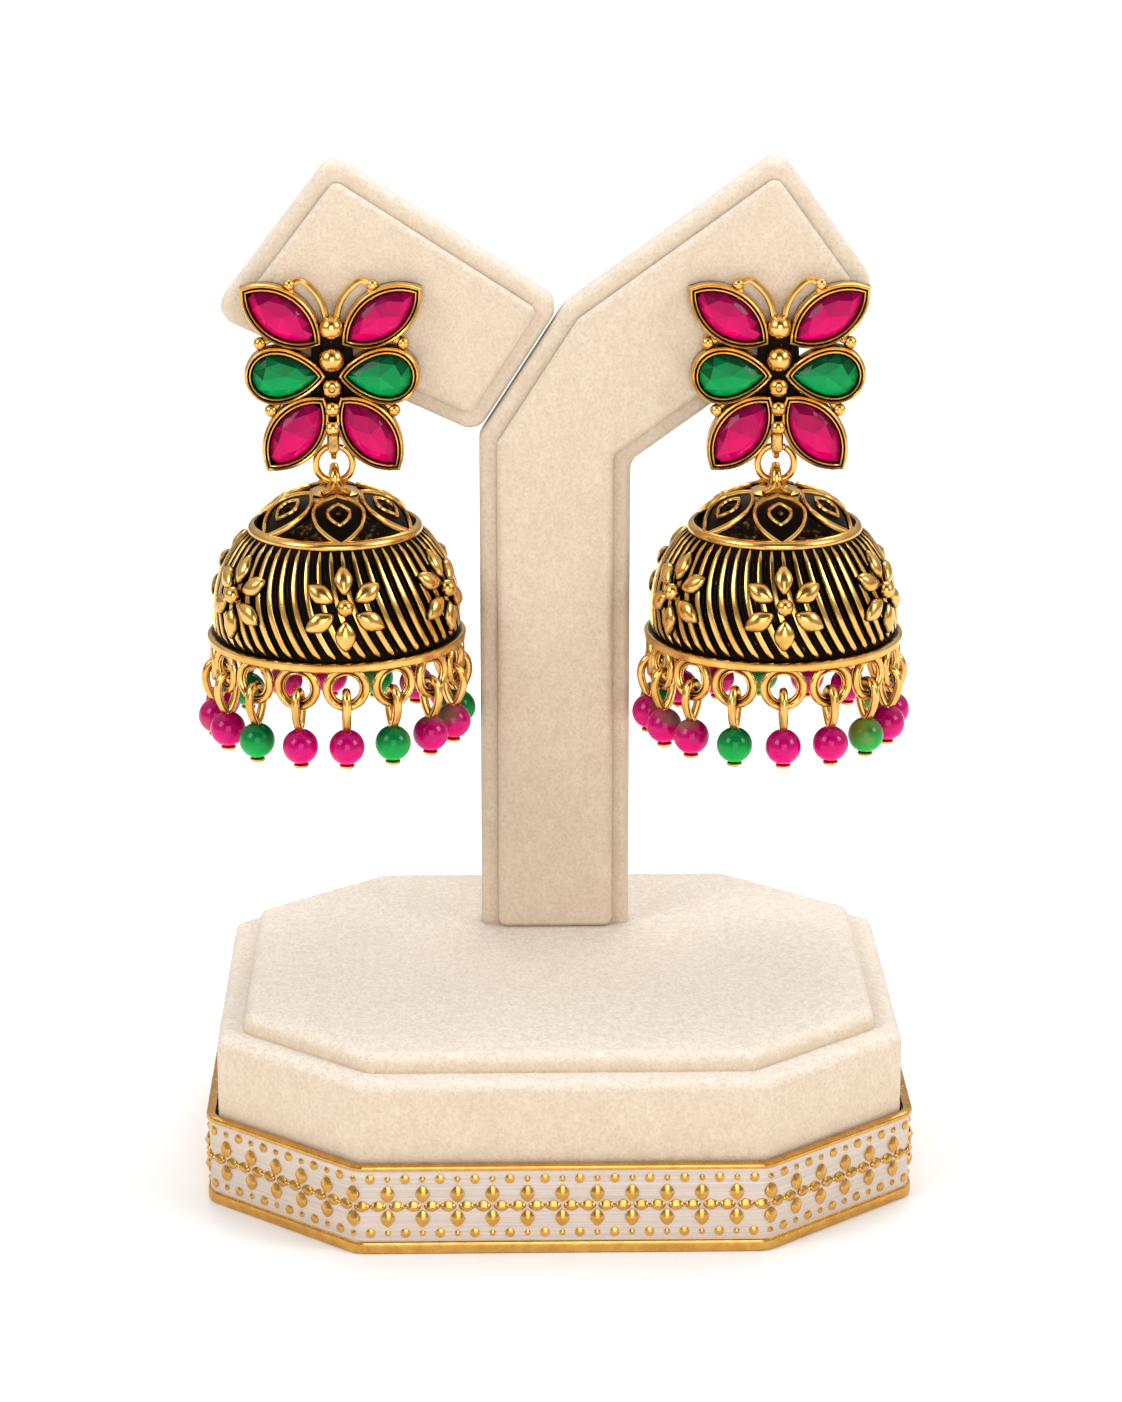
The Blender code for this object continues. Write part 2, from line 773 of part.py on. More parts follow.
def make_drops(side, turn, hinge):
    """A bead on a head pin in each loop, with the pin's eye round the loop's lowest part."""
    eye_top = loop_height() - LOOP_RADIUS + LOOP_WIRE + GAP + 2 * PIN_WIRE
    eye_middle = eye_top - PIN_WIRE - PIN_EYE_HEIGHT / 2
    bead_middle = eye_top - PIN_EYE_HEIGHT - PIN_WIRE - BEAD_RADIUS
    for index in range(DROPS):
        angle = turn + math.tau * index / DROPS
        place = Matrix.Rotation(angle, 4, "Z") @ Matrix.Translation((0.0, -LOOP_CIRCLE, 0.0))
        drop = turned(f"{side}_drop_{index + 1:02d}", bead_profile(bead_middle), BEAD_SIDES)
        points = []
        for step in range(PIN_EYE_SIDES):
            way = math.tau * step / PIN_EYE_SIDES
            points.append(
                (
                    0.0,
                    PIN_EYE_HALF_WIDTH * math.cos(way),
                    eye_middle + PIN_EYE_HEIGHT / 2 * math.sin(way),
                )
            )
        eye = wire(f"{side} drop eye {index}", points, PIN_WIRE, closed=True)
        holder = new_empty(f"{side}_drop_{index + 1:02d}_place", place.translation, parent=hinge)
        holder.rotation_euler = (0.0, 0.0, angle)
        combine(drop, "UNION", [eye], holder)
        add_part(drop, pink if DROP_COLOURS[side][index] == "P" else green, holder, smooth=True)


def bead_profile(middle):
    """A bead with the flat head of its pin below it."""
    points = [(0.0, middle + BEAD_RADIUS)]
    for degrees in (45, 0, -45):
        angle = math.radians(degrees)
        points.append(
            (BEAD_RADIUS * math.cos(angle), middle + BEAD_RADIUS * math.sin(angle))
        )
    head_top = middle - BEAD_RADIUS
    points.append((PIN_HEAD_RADIUS, head_top + PIN_HEAD / 4))
    points.append((PIN_HEAD_RADIUS, head_top - PIN_HEAD))
    points.append((0.0, head_top - PIN_HEAD))
    return points


def make_earring(side):
    way = -1 if side == "left" else 1
    ear_x = way * EAR_X
    board_front = BOARD_FRONT + (LEFT_RECESS if side == "left" else 0.0)
    ear_y = make_stud(side, ear_x, board_front)
    turn = LEFT_TURN if side == "left" else RIGHT_TURN

    ring_axis = new_empty(f"{side}_ring_axis", (ear_x, ear_y, RING_HEIGHT))
    flat = Matrix.Rotation(math.pi / 2, 4, "X")
    link = ring(f"{side}_jump_ring", RING_RADIUS, RING_WIRE, RING_SIDES, RING_WIRE_SIDES, flat)
    add_part(link, gold, ring_axis, smooth=True)

    hinge = new_empty(f"{side}_bell_axis", (0.0, 0.0, -RING_RADIUS), parent=ring_axis)
    make_bell(side, turn, hinge)
    make_drops(side, turn, hinge)


clear_scene()
parts = new_collection("jhumka_earrings_on_stand")
helpers = new_collection("cutters and joined shapes")
helpers.hide_render = True
finished = []

velvet = new_material("velvet", (0.87, 0.76, 0.62), 0.95)
band_metal = new_material("band metal", (0.78, 0.66, 0.55), 0.35, 1.0)
gold = new_material("antique gold", (0.72, 0.48, 0.16), 0.3, 1.0)
ruby = new_material("ruby", (0.55, 0.0, 0.12), 0.08)
emerald = new_material("emerald", (0.0, 0.25, 0.08), 0.08)
pink = new_material("pink bead", (0.85, 0.02, 0.25), 0.15)
green = new_material("green bead", (0.0, 0.3, 0.08), 0.15)

make_base()
make_boards()
for earring_side in SIDES:
    make_earring(earring_side)
for piece in finished:
    parts.objects.link(piece)
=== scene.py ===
"""A pair of jhumka earrings on their velvet stand: the look of each piece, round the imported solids."""
import math

import bmesh
import bpy
from mathutils import Matrix, Vector


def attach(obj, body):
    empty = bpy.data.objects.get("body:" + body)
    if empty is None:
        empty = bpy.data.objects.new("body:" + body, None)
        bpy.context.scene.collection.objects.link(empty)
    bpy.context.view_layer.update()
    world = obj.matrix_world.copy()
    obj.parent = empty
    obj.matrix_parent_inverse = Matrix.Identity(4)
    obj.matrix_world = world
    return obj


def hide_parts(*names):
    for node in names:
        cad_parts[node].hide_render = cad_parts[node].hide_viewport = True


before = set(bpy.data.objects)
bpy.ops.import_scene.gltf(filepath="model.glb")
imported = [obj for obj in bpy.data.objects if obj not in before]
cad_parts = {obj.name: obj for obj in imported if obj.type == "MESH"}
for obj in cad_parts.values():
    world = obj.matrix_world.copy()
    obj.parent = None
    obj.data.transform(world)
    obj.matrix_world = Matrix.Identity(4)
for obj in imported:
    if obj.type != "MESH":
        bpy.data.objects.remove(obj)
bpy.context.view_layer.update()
scene = bpy.context.scene

# Studio: a plain pale floor under a soft sky, with large soft lamps, and the camera in front of
# the stand, raised and tilted down as in the photograph.


class Nodes:
    """A node tree that is filled one node after the other."""

    def __init__(self, tree):
        self.tree = tree

    def set(self, socket, value):
        if isinstance(value, bpy.types.NodeSocket):
            self.tree.links.new(value, socket)
        else:
            socket.default_value = value

    def node(self, kind, inputs=None, **settings):
        made = self.tree.nodes.new(kind)
        for key, value in settings.items():
            setattr(made, key, value)
        for socket, value in (inputs or {}).items():
            self.set(made.inputs[socket], value)
        return made

    def output(self, kind, inputs=None, **settings):
        """The first output of a new node."""
        return self.node(kind, inputs, **settings).outputs[0]

    def math(self, operation, first, second=0.0):
        return self.output("ShaderNodeMath", {0: first, 1: second}, operation=operation)

    def span(self, value, low, high, start=0.0, end=1.0):
        inputs = {"Value": value, "From Min": low, "From Max": high, "To Min": start, "To Max": end}
        return self.output("ShaderNodeMapRange", inputs)

    def mix(self, share, first, second):
        inputs = {0: share, 6: first, 7: second}
        return self.node("ShaderNodeMix", inputs, data_type="RGBA").outputs[2]


class Finish(Nodes):
    """A material with its slot, and the nodes that give its colour, gloss and grain."""

    def __init__(self, name, slot=None, **fixed):
        self.slot = slot
        self.material = bpy.data.materials.new(name)
        self.material.use_nodes = True
        super().__init__(self.material.node_tree)
        self.surface = self.tree.nodes["Principled BSDF"]
        for label, value in fixed.items():
            self.surface.inputs[label.replace("_", " ")].default_value = value

    def show(self, label, value):
        self.set(self.surface.inputs[label], value)

    def grain(self, scale, detail=2.0, stretch=(1.0, 1.0, 1.0), roughness=0.5):
        """Noise on Object coordinates, in metres, stretched along the axes."""
        where = self.node("ShaderNodeTexCoord").outputs["Object"]
        place = self.output("ShaderNodeMapping", {"Vector": where, "Scale": stretch})
        inputs = {"Vector": place, "Scale": scale, "Detail": detail, "Roughness": roughness}
        return self.node("ShaderNodeTexNoise", inputs).outputs["Fac"]

    def attribute(self, name):
        return self.node("ShaderNodeAttribute", attribute_name=name).outputs["Fac"]

    def crevice(self, reach):
        inputs = {"Distance": reach}
        return self.node("ShaderNodeAmbientOcclusion", inputs, samples=4).outputs["AO"]

    def bump(self, height, strength, depth):
        inputs = {"Height": height, "Strength": strength, "Distance": depth}
        self.show("Normal", self.node("ShaderNodeBump", inputs).outputs[0])


def new_object(name, data):
    """An object of the scene, round its data."""
    made = bpy.data.objects.new(name, data)
    scene.collection.objects.link(made)
    return made


# The photograph's camera, fitted to the stand's edges: millimetres, metres and degrees
FOCAL_LENGTH = 104.15
CAMERA_PLACE = (-0.00785, -0.44287, 0.18961)
CAMERA_DOWN = 17.139
CAMERA_ASIDE = -1.079
lens = bpy.data.cameras.new("photo_camera")
lens.lens = FOCAL_LENGTH
lens.sensor_width = 36.0
lens.clip_start = 0.02
camera = new_object("photo_camera", lens)
camera.location = CAMERA_PLACE
camera.rotation_euler = (math.radians(90.0 - CAMERA_DOWN), 0.0, math.radians(CAMERA_ASIDE))
scene.camera = camera

FLOOR_HALF = 4.0
FLOOR_HEIGHT = -0.00002
floor_mesh = bpy.data.meshes.new("studio_floor")
floor_ways = ((-1, -1), (1, -1), (1, 1), (-1, 1))
floor_corners = [(x * FLOOR_HALF, y * FLOOR_HALF, FLOOR_HEIGHT) for x, y in floor_ways]
floor_mesh.from_pydata(floor_corners, [], [(0, 1, 2, 3)])
studio_floor = new_object("studio_floor", floor_mesh)
paper = Finish("white paper", Roughness=0.9)
paper.show("Base Color", paper.mix(paper.grain(2.0), (0.93, 0.93, 0.93, 1.0), (0.95, 0.95, 0.95, 1.0)))
floor_mesh.materials.append(paper.material)

# name, place, size, power in watts
LAMPS = (
    ("left_softbox", (-1.15, -0.75, 1.1), 0.8, 11.5),
    ("right_softbox", (1.2, -0.45, 0.9), 0.6, 8.5),
    ("front_softbox", (0.1, -1.3, 0.42), 0.8, 5.7),
    ("back_softbox", (0.1, 1.0, 1.5), 1.1, 14.0),
)
for lamp_name, lamp_place, lamp_size, lamp_power in LAMPS:
    lamp = bpy.data.lights.new(lamp_name, "AREA")
    lamp.size = lamp_size
    lamp.energy = lamp_power
    lamp_object = new_object(lamp_name, lamp)
    lamp_object.location = lamp_place
    toward = Vector((0.0, 0.0, 0.05)) - lamp_object.location
    lamp_object.rotation_euler = toward.to_track_quat("-Z", "Y").to_euler()

world = bpy.data.worlds.new("soft sky")
world.use_nodes = True
sky = Nodes(world.node_tree)
sky_way = sky.node("ShaderNodeTexCoord").outputs["Generated"]
sky_height = sky.node("ShaderNodeSeparateXYZ", {0: sky_way}).outputs["Z"]
sky_tone = sky.mix(sky.span(sky_height, 0.02, 0.75), (0.42, 0.41, 0.40, 1.0), (1.0, 1.0, 1.0, 1.0))
# A dark patch of sky, high in front, for the gold to mirror
sky_front = sky.node("ShaderNodeVectorMath", {0: sky_way, 1: (0.0, -0.78, 0.62)}, operation="DOT_PRODUCT")
sky_shade = sky.span(sky_front.outputs["Value"], 0.72, 0.9)
sky_tone = sky.mix(sky_shade, sky_tone, (0.08, 0.07, 0.06, 1.0))
sky.set(world.node_tree.nodes["Background"].inputs["Color"], sky_tone)
world.node_tree.nodes["Background"].inputs["Strength"].default_value = 0.83
scene.world = world
scene.view_settings.view_transform = "Standard"

# Base: a low box with cut corners, wrapped in cream velvet, with a raised soft pad of the same
# velvet glued on its top. The pad is slotted for the stem. Lengths are millimetres from here on.
BODY_HALF = (38.5, 32.9)
BODY_CUT = (16.3, 13.9)
BODY_HEIGHT = 19.6
BODY_CORNER = 1.5
BASE_PAD_INSET = 3.0
BASE_PAD_TOP = 21.8
BASE_PAD_SUNK = 0.1
GAP = 0.3
STEM_HALF = 8.7
BOARD_THICKNESS = 4.0
BOARD_FRONT = 10.8


def new_shape():
    shape = bmesh.new()
    shape.verts.layers.float.new("patina")
    return shape


def mesh_of(name, shape):
    """A mesh made of a shape, which is used up."""
    mesh = bpy.data.meshes.new(name)
    shape.to_mesh(mesh)
    shape.free()
    return mesh


def turns(count):
    """The angles of equal steps round a circle."""
    return [math.tau * step / count for step in range(count)]


def mirrored(points):
    """The same flat points on the other side of the middle line, in the other order."""
    return [Vector((-point.x, point.y)) for point in reversed(points)]


def loft(shape, loops, wrap=False, caps=(True, True), patina=None):
    """Faces between closed loops, of which one of a single point is a tip. Patina is given loop by loop."""
    layer = shape.verts.layers.float["patina"]
    rows = [[shape.verts.new(point) for point in loop] for loop in loops]
    for row, dark in zip(rows, patina or ()):
        for vert in row:
            vert[layer] = dark
    pairs = list(zip(rows, rows[1:]))
    if wrap:
        pairs.append((rows[-1], rows[0]))
    for first, second in pairs:
        count = max(len(first), len(second))
        for here in range(count):
            after = (here + 1) % count
            if len(first) == 1:
                shape.faces.new((first[0], second[after], second[here]))
            elif len(second) == 1:
                shape.faces.new((first[here], first[after], second[0]))
            else:
                shape.faces.new((first[here], first[after], second[after], second[here]))
    if not wrap:
        for row, closed in zip((rows[0], rows[-1]), caps):
            if closed and len(row) > 2:
                shape.faces.new(row)


def corners(points):
    """Each point of a closed outline, with the ways to it and from it."""
    for before, here, after in zip(points[-1:] + points[:-1], points, points[1:] + points[:1]):
        yield here, (here - before).normalized(), (after - here).normalized()


def offset(outline, distance, mitre=9.0):
    """A closed anticlockwise outline moved outwards, with corners mitred up to a limit."""
    moved = []
    for here, first, second in corners(outline):
        normal = Vector((first.y, -first.x))
        middle = (normal + Vector((second.y, -second.x))).normalized()
        moved.append(here + middle * distance * min(mitre, 1.0 / middle.dot(normal)))
    return moved


def rounded(outline, radius, steps=6):
    """A closed outline with an arc at each corner."""
    points = []
    for here, first, second in corners(outline):
        turn = math.atan2(first.cross(second), first.dot(second))
        start = here - first * radius * math.tan(abs(turn) / 2)
        inward = Vector((-first.y, first.x)) * math.copysign(radius, turn)
        for step in range(steps + 1):
            points.append(start + inward + Matrix.Rotation(turn * step / steps, 2) @ -inward)
    return points


def plate_rows(low, high, foot, lip, crown=0.0, reach=3.0):
    """(inset, height) of a plate's rows, from its underside round a rounded foot and lip to its crown."""
    rows = []
    for step in range(4):
        angle = math.pi / 2 * step / 3
        rows.append((foot * (1 - math.sin(angle)), low + foot * (1 - math.cos(angle))))
    for step in range(6):
        angle = math.pi / 2 * step / 5
        rows.append((lip * (1 - math.cos(angle)), high - lip + lip * math.sin(angle)))
    if crown:
        rows.append((lip + reach * 0.4, high + crown * 0.6))
        rows.append((lip + reach, high + crown))
    return rows


def plate(shape, outline, corner, rows, patina=0.0):
    """A plate on a flat outline, with rounded corners and a row for each inset and height."""
    loops = []
    for inset, height in rows:
        points = rounded(offset(outline, -inset), max(corner - inset, 0.15))
        loops.append([(*point, height) for point in points])
    loft(shape, loops, patina=[patina] * len(loops))


def add_piece(name, shape, finish, nodes, place=None, body="stand", sharp=40.0):
    """A finished piece in metres, which rides on a body and stands for CAD nodes."""
    bmesh.ops.recalc_face_normals(shape, faces=shape.faces[:])
    shape.transform(Matrix.Scale(0.001, 4) @ (place or Matrix()))
    mesh = mesh_of(name, shape)
    mesh.materials.append(finish.material)
    mesh.shade_smooth()
    mesh.set_sharp_from_angle(angle=math.radians(sharp))
    piece = new_object(name, mesh)
    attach(piece, body)
    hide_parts(*nodes)
    return piece


def base_outline():
    """The box's outline: a rectangle with its four corners cut."""
    (x, y), (cut_x, cut_y) = BODY_HALF, BODY_CUT
    right = [Vector(corner) for corner in ((x - cut_x, -y), (x, cut_y - y), (x, y - cut_y), (x - cut_x, y))]
    return right + mirrored(right)


velvet = Finish("cream velvet", "velvet", Roughness=0.95, Sheen_Weight=0.45, Sheen_Roughness=0.4)
velvet.surface.inputs["Specular IOR Level"].default_value = 0.1
velvet.surface.inputs["Sheen Tint"].default_value = (1.0, 0.95, 0.86, 1.0)
nap = velvet.span(velvet.grain(330.0, 5.0), 0.3, 0.7)
cloth = velvet.mix(nap, (0.78, 0.645, 0.49, 1.0), (0.83, 0.70, 0.545, 1.0))
# Painted light: faces that point up are painted a paler cream, as if lit from above.
facing_way = velvet.node("ShaderNodeNewGeometry").outputs["Normal"]
painted_top_light = velvet.node("ShaderNodeSeparateXYZ", {0: facing_way}).outputs["Z"]
cloth = velvet.mix(velvet.span(painted_top_light, 0.15, 0.95), cloth, (0.96, 0.89, 0.79, 1.0))
pile = velvet.grain(2900.0, 4.0, roughness=0.75)
cloth = velvet.mix(velvet.span(pile, 0.34, 0.56, 0.52, 0.0), cloth, (0.58, 0.43, 0.30, 1.0))
ruffle = velvet.grain(950.0, 5.0, roughness=0.72)
cloth = velvet.mix(velvet.span(ruffle, 0.40, 0.60, 0.24, 0.0), cloth, (0.62, 0.47, 0.33, 1.0))
# Painted shade: where nearby surfaces hem the velvet in, in creases, corners and round a pad's foot, it is
# painted dark brown.
painted_crease_shade = velvet.span(velvet.crevice(0.0011), 0.2, 0.7, 0.6, 0.0)
velvet.show("Base Color", velvet.mix(painted_crease_shade, cloth, (0.42, 0.28, 0.17, 1.0)))
velvet.bump(pile, 0.9, 0.0002)

body_shape = new_shape()
plate(body_shape, base_outline(), BODY_CORNER, plate_rows(0.0, BODY_HEIGHT, 0.4, 1.3))
add_piece("velvet_base", body_shape, velvet, ["base_body"])

pad_outline = offset(base_outline(), -BASE_PAD_INSET)
pad_rows = plate_rows(BODY_HEIGHT - BASE_PAD_SUNK, BASE_PAD_TOP, 0.0, 1.4, 0.15, 9.0)
pad_shape = new_shape()
plate(pad_shape, pad_outline, BODY_CORNER, pad_rows)
base_pad = add_piece("velvet_base_pad", pad_shape, velvet, ["base_pad"])

# Band: a strip of brushed pinkish-silver metal bent round the foot of the box, held by a gold
# trim along its top and a thicker one along its bottom.
BAND_HEIGHT = 10.4
STRIP_FACE = 1.1
TRIM_FACE = 1.4


def round_box(distance):
    """The outline at a distance outside the box."""
    return rounded(offset(base_outline(), distance), BODY_CORNER + distance)


def band_shape(section):
    """A closed section of (distance from the box, height), carried round the box."""
    shape = new_shape()
    loops = [[(*point, height) for point in round_box(distance)] for distance, height in section]
    loft(shape, loops, wrap=True)
    return shape


silver = Finish("brushed pinkish silver", "band_metal", Metallic=0.85)
brush = silver.grain(900.0, 3.0, (0.05, 0.05, 9.0))
silver_tone = silver.mix(silver.span(brush, 0.3, 0.7), (0.56, 0.475, 0.41, 1.0), (0.76, 0.66, 0.58, 1.0))
silver.show("Base Color", silver_tone)
silver.show("Roughness", silver.span(brush, 0.3, 0.7, 0.42, 0.6))
silver.bump(brush, 0.25, 0.00005)

gilt = Finish("bright gilt", "antique_gold", Metallic=1.0)
wear = gilt.span(gilt.grain(700.0, 4.0), 0.35, 0.75)
gilt.show("Base Color", gilt.mix(wear, (0.70, 0.39, 0.10, 1.0), (0.55, 0.28, 0.06, 1.0)))
gilt.show("Roughness", gilt.span(gilt.grain(2500.0), 0.3, 0.7, 0.16, 0.3))
gilt.bump(gilt.grain(1800.0, 3.0), 0.12, 0.00005)

strip_section = ((0.45, 0.5), (STRIP_FACE, 0.5), (STRIP_FACE, BAND_HEIGHT - 0.3), (0.45, BAND_HEIGHT - 0.3))
add_piece("silver_band", band_shape(strip_section), silver, ["base_band"])


def trim_section(low, high, edge):
    """A trim's section with rounded edges, round the outside of the strip."""
    back = 0.4
    lip = ((TRIM_FACE - edge, 0.0), (TRIM_FACE - 0.3 * edge, 0.3 * edge), (TRIM_FACE, edge))
    foot = [(face, low + rise) for face, rise in lip]
    top = [(face, high - rise) for face, rise in reversed(lip)]
    return [(back, low), *foot, *top, (back, high)]


for trim_name, trim_low, trim_high, trim_edge in (
    ("lower_trim", 0.0, 1.42, 0.3),
    ("upper_trim", BAND_HEIGHT - 0.62, BAND_HEIGHT, 0.22),
):
    trim = band_shape(trim_section(trim_low, trim_high, trim_edge))
    add_piece(trim_name, trim, gilt, ["base_band"])

# Ornament of the band: cast gold crosses of four faceted petals, linked into a chain, with a
# row of dots above and below. They are riveted through the strip and stand proud of it.
CROSSES = 67
CROSS_HEIGHT = 5.6
CROSS_PITCH = 3.84
PETAL_ASIDE = 1.0
PETAL_RISE = 1.45
DOT_RISE = 3.2


def gem(shape, x, z, half_wide, half_high, rise, crease=0.3, power=1.3, sides=16):
    """A low petal or dot that stands proud towards -Y, with facets above and below a level crease."""
    loops = []
    for wide, high, height in ((1.0, 1.0, 0.1), (0.97, 0.97, -0.3 * rise), (crease, 0.04, -rise)):
        points = []
        for angle in turns(sides):
            cos, sin = math.cos(angle), math.sin(angle)
            across = wide * half_wide * math.copysign(abs(cos) ** power, cos)
            up = high * half_high * math.copysign(abs(sin) ** power, sin)
            points.append((x + across, height, z + up))
        loops.append(points)
    loft(shape, loops)


upright_petals, level_petal, between = new_shape(), new_shape(), new_shape()
for way in (-1, 1):
    gem(upright_petals, 0.0, PETAL_RISE * way, 0.82, 1.02, 0.5)
    gem(upright_petals, 0.0, DOT_RISE * way, 0.36, 0.36, 0.26, 0.2, 1.0, 10)
    gem(between, 0.0, DOT_RISE * way, 0.56, 0.56, 0.28, 0.2, 1.0, 12)
gem(between, 0.0, 0.0, 0.34, 0.22, 0.28, 0.6, 1.0, 8)
gem(level_petal, 0.0, 0.0, 0.9, 0.66, 0.42, 0.5)


class Growth(Nodes):
    """A Geometry Nodes tree with named inputs, and what it makes of a mesh."""

    def __init__(self, name, **inputs):
        super().__init__(bpy.data.node_groups.new(name, "GeometryNodeTree"))
        face = self.tree.interface
        face.new_socket("Geometry", in_out="INPUT", socket_type="NodeSocketGeometry")
        self.names = {}
        for label, kind in inputs.items():
            socket = face.new_socket(label, in_out="INPUT", socket_type="NodeSocket" + kind)
            self.names[label] = socket.identifier
        face.new_socket("Geometry", in_out="OUTPUT", socket_type="NodeSocketGeometry")
        self.given = self.tree.nodes.new("NodeGroupInput").outputs

    def end(self, points, instance, rotation, **more):
        """Instance on Points, Realize Instances and Set Material, the last nodes of each tree."""
        inputs = {"Points": points, "Instance": instance, "Rotation": rotation, **more}
        copies = self.output("GeometryNodeInstanceOnPoints", inputs)
        plain = self.output("GeometryNodeRealizeInstances", {0: copies})
        inputs = {"Geometry": plain, "Material": self.given["Material"]}
        painted = self.output("GeometryNodeSetMaterial", inputs)
        self.set(self.tree.nodes.new("NodeGroupOutput").inputs[0], painted)

    def grow(self, shape, **values):
        """The plain mesh that the tree makes of a shape, as a shape again."""
        host = new_object("host", mesh_of("host", shape))
        modifier = host.modifiers.new("growth", "NODES")
        modifier.node_group = self.tree
        for label, value in values.items():
            modifier[self.names[label]] = value
        graph = bpy.context.evaluated_depsgraph_get()
        grown = bpy.data.meshes.new_from_object(host.evaluated_get(graph))
        host.modifiers.remove(modifier)
        bpy.data.objects.remove(host)
        plain = bmesh.new()
        plain.from_mesh(grown)
        bpy.data.meshes.remove(grown)
        return plain


along_band = Growth("crosses along the band", Path="Object", Count="Int", Material="Material")
path_info = along_band.node("GeometryNodeObjectInfo", {"Object": along_band.given["Path"]})
path_inputs = {"Curve": path_info.outputs["Geometry"], "Count": along_band.given["Count"]}
path_points = along_band.node("GeometryNodeCurveToPoints", path_inputs, mode="COUNT").outputs
path_way = {"Vector": path_points["Tangent"]}
path_turn = along_band.output("FunctionNodeAlignRotationToVector", path_way, axis="X", pivot_axis="Z")
along_band.end(path_points["Points"], along_band.given["Geometry"], path_turn)

# name, what is repeated, and how far from the front's middle the row starts
for row_name, row_shape, row_start in (
    ("gold_crosses", upright_petals, 0.0),
    ("gold_right_petals", level_petal.copy(), PETAL_ASIDE),
    ("gold_left_petals", level_petal, -PETAL_ASIDE),
    ("gold_dots", between, CROSS_PITCH / 2),
):
    band_path = bpy.data.curves.new("band path", "CURVE")
    band_path.dimensions = "3D"
    path_outline = round_box(STRIP_FACE)
    path_outline.insert(0, Vector((row_start, -BODY_HALF[1] - STRIP_FACE)))
    path_spline = band_path.splines.new("POLY")
    path_spline.points.add(len(path_outline) - 1)
    path_spline.use_cyclic_u = True
    for path_point, path_place in zip(path_spline.points, path_outline):
        path_point.co = (*path_place, CROSS_HEIGHT, 1.0)
    path_object = new_object("band path", band_path)
    row = along_band.grow(row_shape, Path=path_object, Count=CROSSES, Material=gilt.material)
    bpy.data.objects.remove(path_object)
    add_piece(row_name, row, gilt, ["base_band"], sharp=48.0)

# Upright: a stiff board cut to a stem with the right arm, wrapped in the same velvet. The left
# arm is a second board that butts against its slanted side. Each has a soft velvet pad on its face.
BEND_HEIGHT = 81.4
INNER_BEND = 78.3
ARM_TILT = 36.0
ARM_WIDTH = 19.3
ARM_REACH = 34.7
NOTCH_X = 1.1
LEFT_RECESS = 0.6
LEFT_TILTS = (33.1, 24.9, 52.5)
LEFT_REACH = 31.2
BOARD_CORNER = 2.2
FACE_PAD_INSET = 2.0
FACE_PAD_THICKNESS = 1.0


def along(degrees):
    return Vector((math.cos(math.radians(degrees)), math.sin(math.radians(degrees))))


def meet(point_a, way_a, point_b, way_b):
    """Where two lines cross."""
    return point_a + way_a * ((point_b - point_a).cross(way_b) / way_a.cross(way_b))


def upright_outline():
    arm = along(ARM_TILT)
    across = Vector((-arm.y, arm.x))
    inner = Vector((STEM_HALF, INNER_BEND))
    end = inner + arm * ARM_REACH
    foot = BODY_HEIGHT + GAP
    notch = meet(inner + across * ARM_WIDTH, arm, Vector((NOTCH_X, 0.0)), Vector((0.0, 1.0)))
    stem = [Vector((-STEM_HALF, foot)), Vector((STEM_HALF, foot)), inner]
    return stem + [end, end + across * ARM_WIDTH, notch, Vector((-STEM_HALF, BEND_HEIGHT))]


def left_arm_outline():
    top, foot = upright_outline()[5:7]
    slant = (top - foot).normalized()
    aside = Vector((-slant.y, slant.x)) * GAP
    far_top = top + aside + LEFT_REACH * along(180.0 - LEFT_TILTS[0])
    far_end = meet(far_top, along(180.0 + LEFT_TILTS[2]), foot + aside, along(180.0 - LEFT_TILTS[1]))
    return [foot + aside, top + aside, far_top, far_end]


def facing(x, y, z):
    """Turns a shape drawn flat to face the front: its X stays, its Y goes up and its Z comes out."""
    return Matrix.Translation((x, y, z)) @ Matrix.Rotation(math.pi / 2, 4, "X")


for board_name, board_outline, board_front in (
    ("upright", upright_outline(), BOARD_FRONT),
    ("left_arm", left_arm_outline(), BOARD_FRONT + LEFT_RECESS),
):
    board = new_shape()
    plate(board, board_outline, BOARD_CORNER, plate_rows(-BOARD_THICKNESS, 0.0, 1.1, 1.1))
    board_place = facing(0.0, board_front, 0.0)
    add_piece(f"{board_name}_velvet", board, velvet, [f"{board_name}_board"], board_place)
    face = new_shape()
    face_rows = plate_rows(GAP, GAP + FACE_PAD_THICKNESS, 0.2, 0.8, 0.12)
    plate(face, offset(board_outline, -FACE_PAD_INSET), BOARD_CORNER / 2, face_rows)
    face_pad = add_piece(f"{board_name}_soft_face", face, velvet, [f"{board_name}_pad"], board_place)

# Butterfly studs: cast brass, gilt and left dark in its hollows. Six cups with double rims hold
# the stones round a spine of beads, with small beads and two feelers between the wings. A tongue
# at the foot carries the eye for the jump ring, and a post goes through the board to a nut.
EAR_X = 25.35
EAR_HEIGHT = 91.15
STUD_BACK = 9.2
# kind, cut, inner tip, outer tip, width
STONES = (
    ("ruby", "marquise", (1.95, 2.25), (9.45, 7.6), 4.5),
    ("emerald", "pear", (1.65, -1.9), (9.1, -1.9), 5.0),
    ("ruby", "marquise", (1.45, -5.1), (7.0, -12.1), 4.7),
)
STONE_POINTS = 32
# height, radius
SPINE_BEADS = ((3.65, 1.4), (0.0, 1.5), (-3.3, 1.15), (-5.75, 0.95), (-8.0, 0.95))
SPINE_SEAT = 1.7
# x, height, radius, where its bridge starts
SIDE_BEADS = ((4.7, 8.5, 0.7, (4.5, 6.9)), (8.1, 1.8, 0.76, (7.0, 2.4)), (7.0, -6.0, 0.76, (6.1, -4.9)))
FEELER = ((4.7, 8.5), (3.4, 9.0), (2.05, 8.0), (1.05, 6.5), (0.5, 4.5))
# The right half of the dark sheet that joins the wings behind the spine
SPINE_SHEET = ((1.9, -8.0), (2.6, -5.0), (2.4, 0.0), (2.2, 3.4))
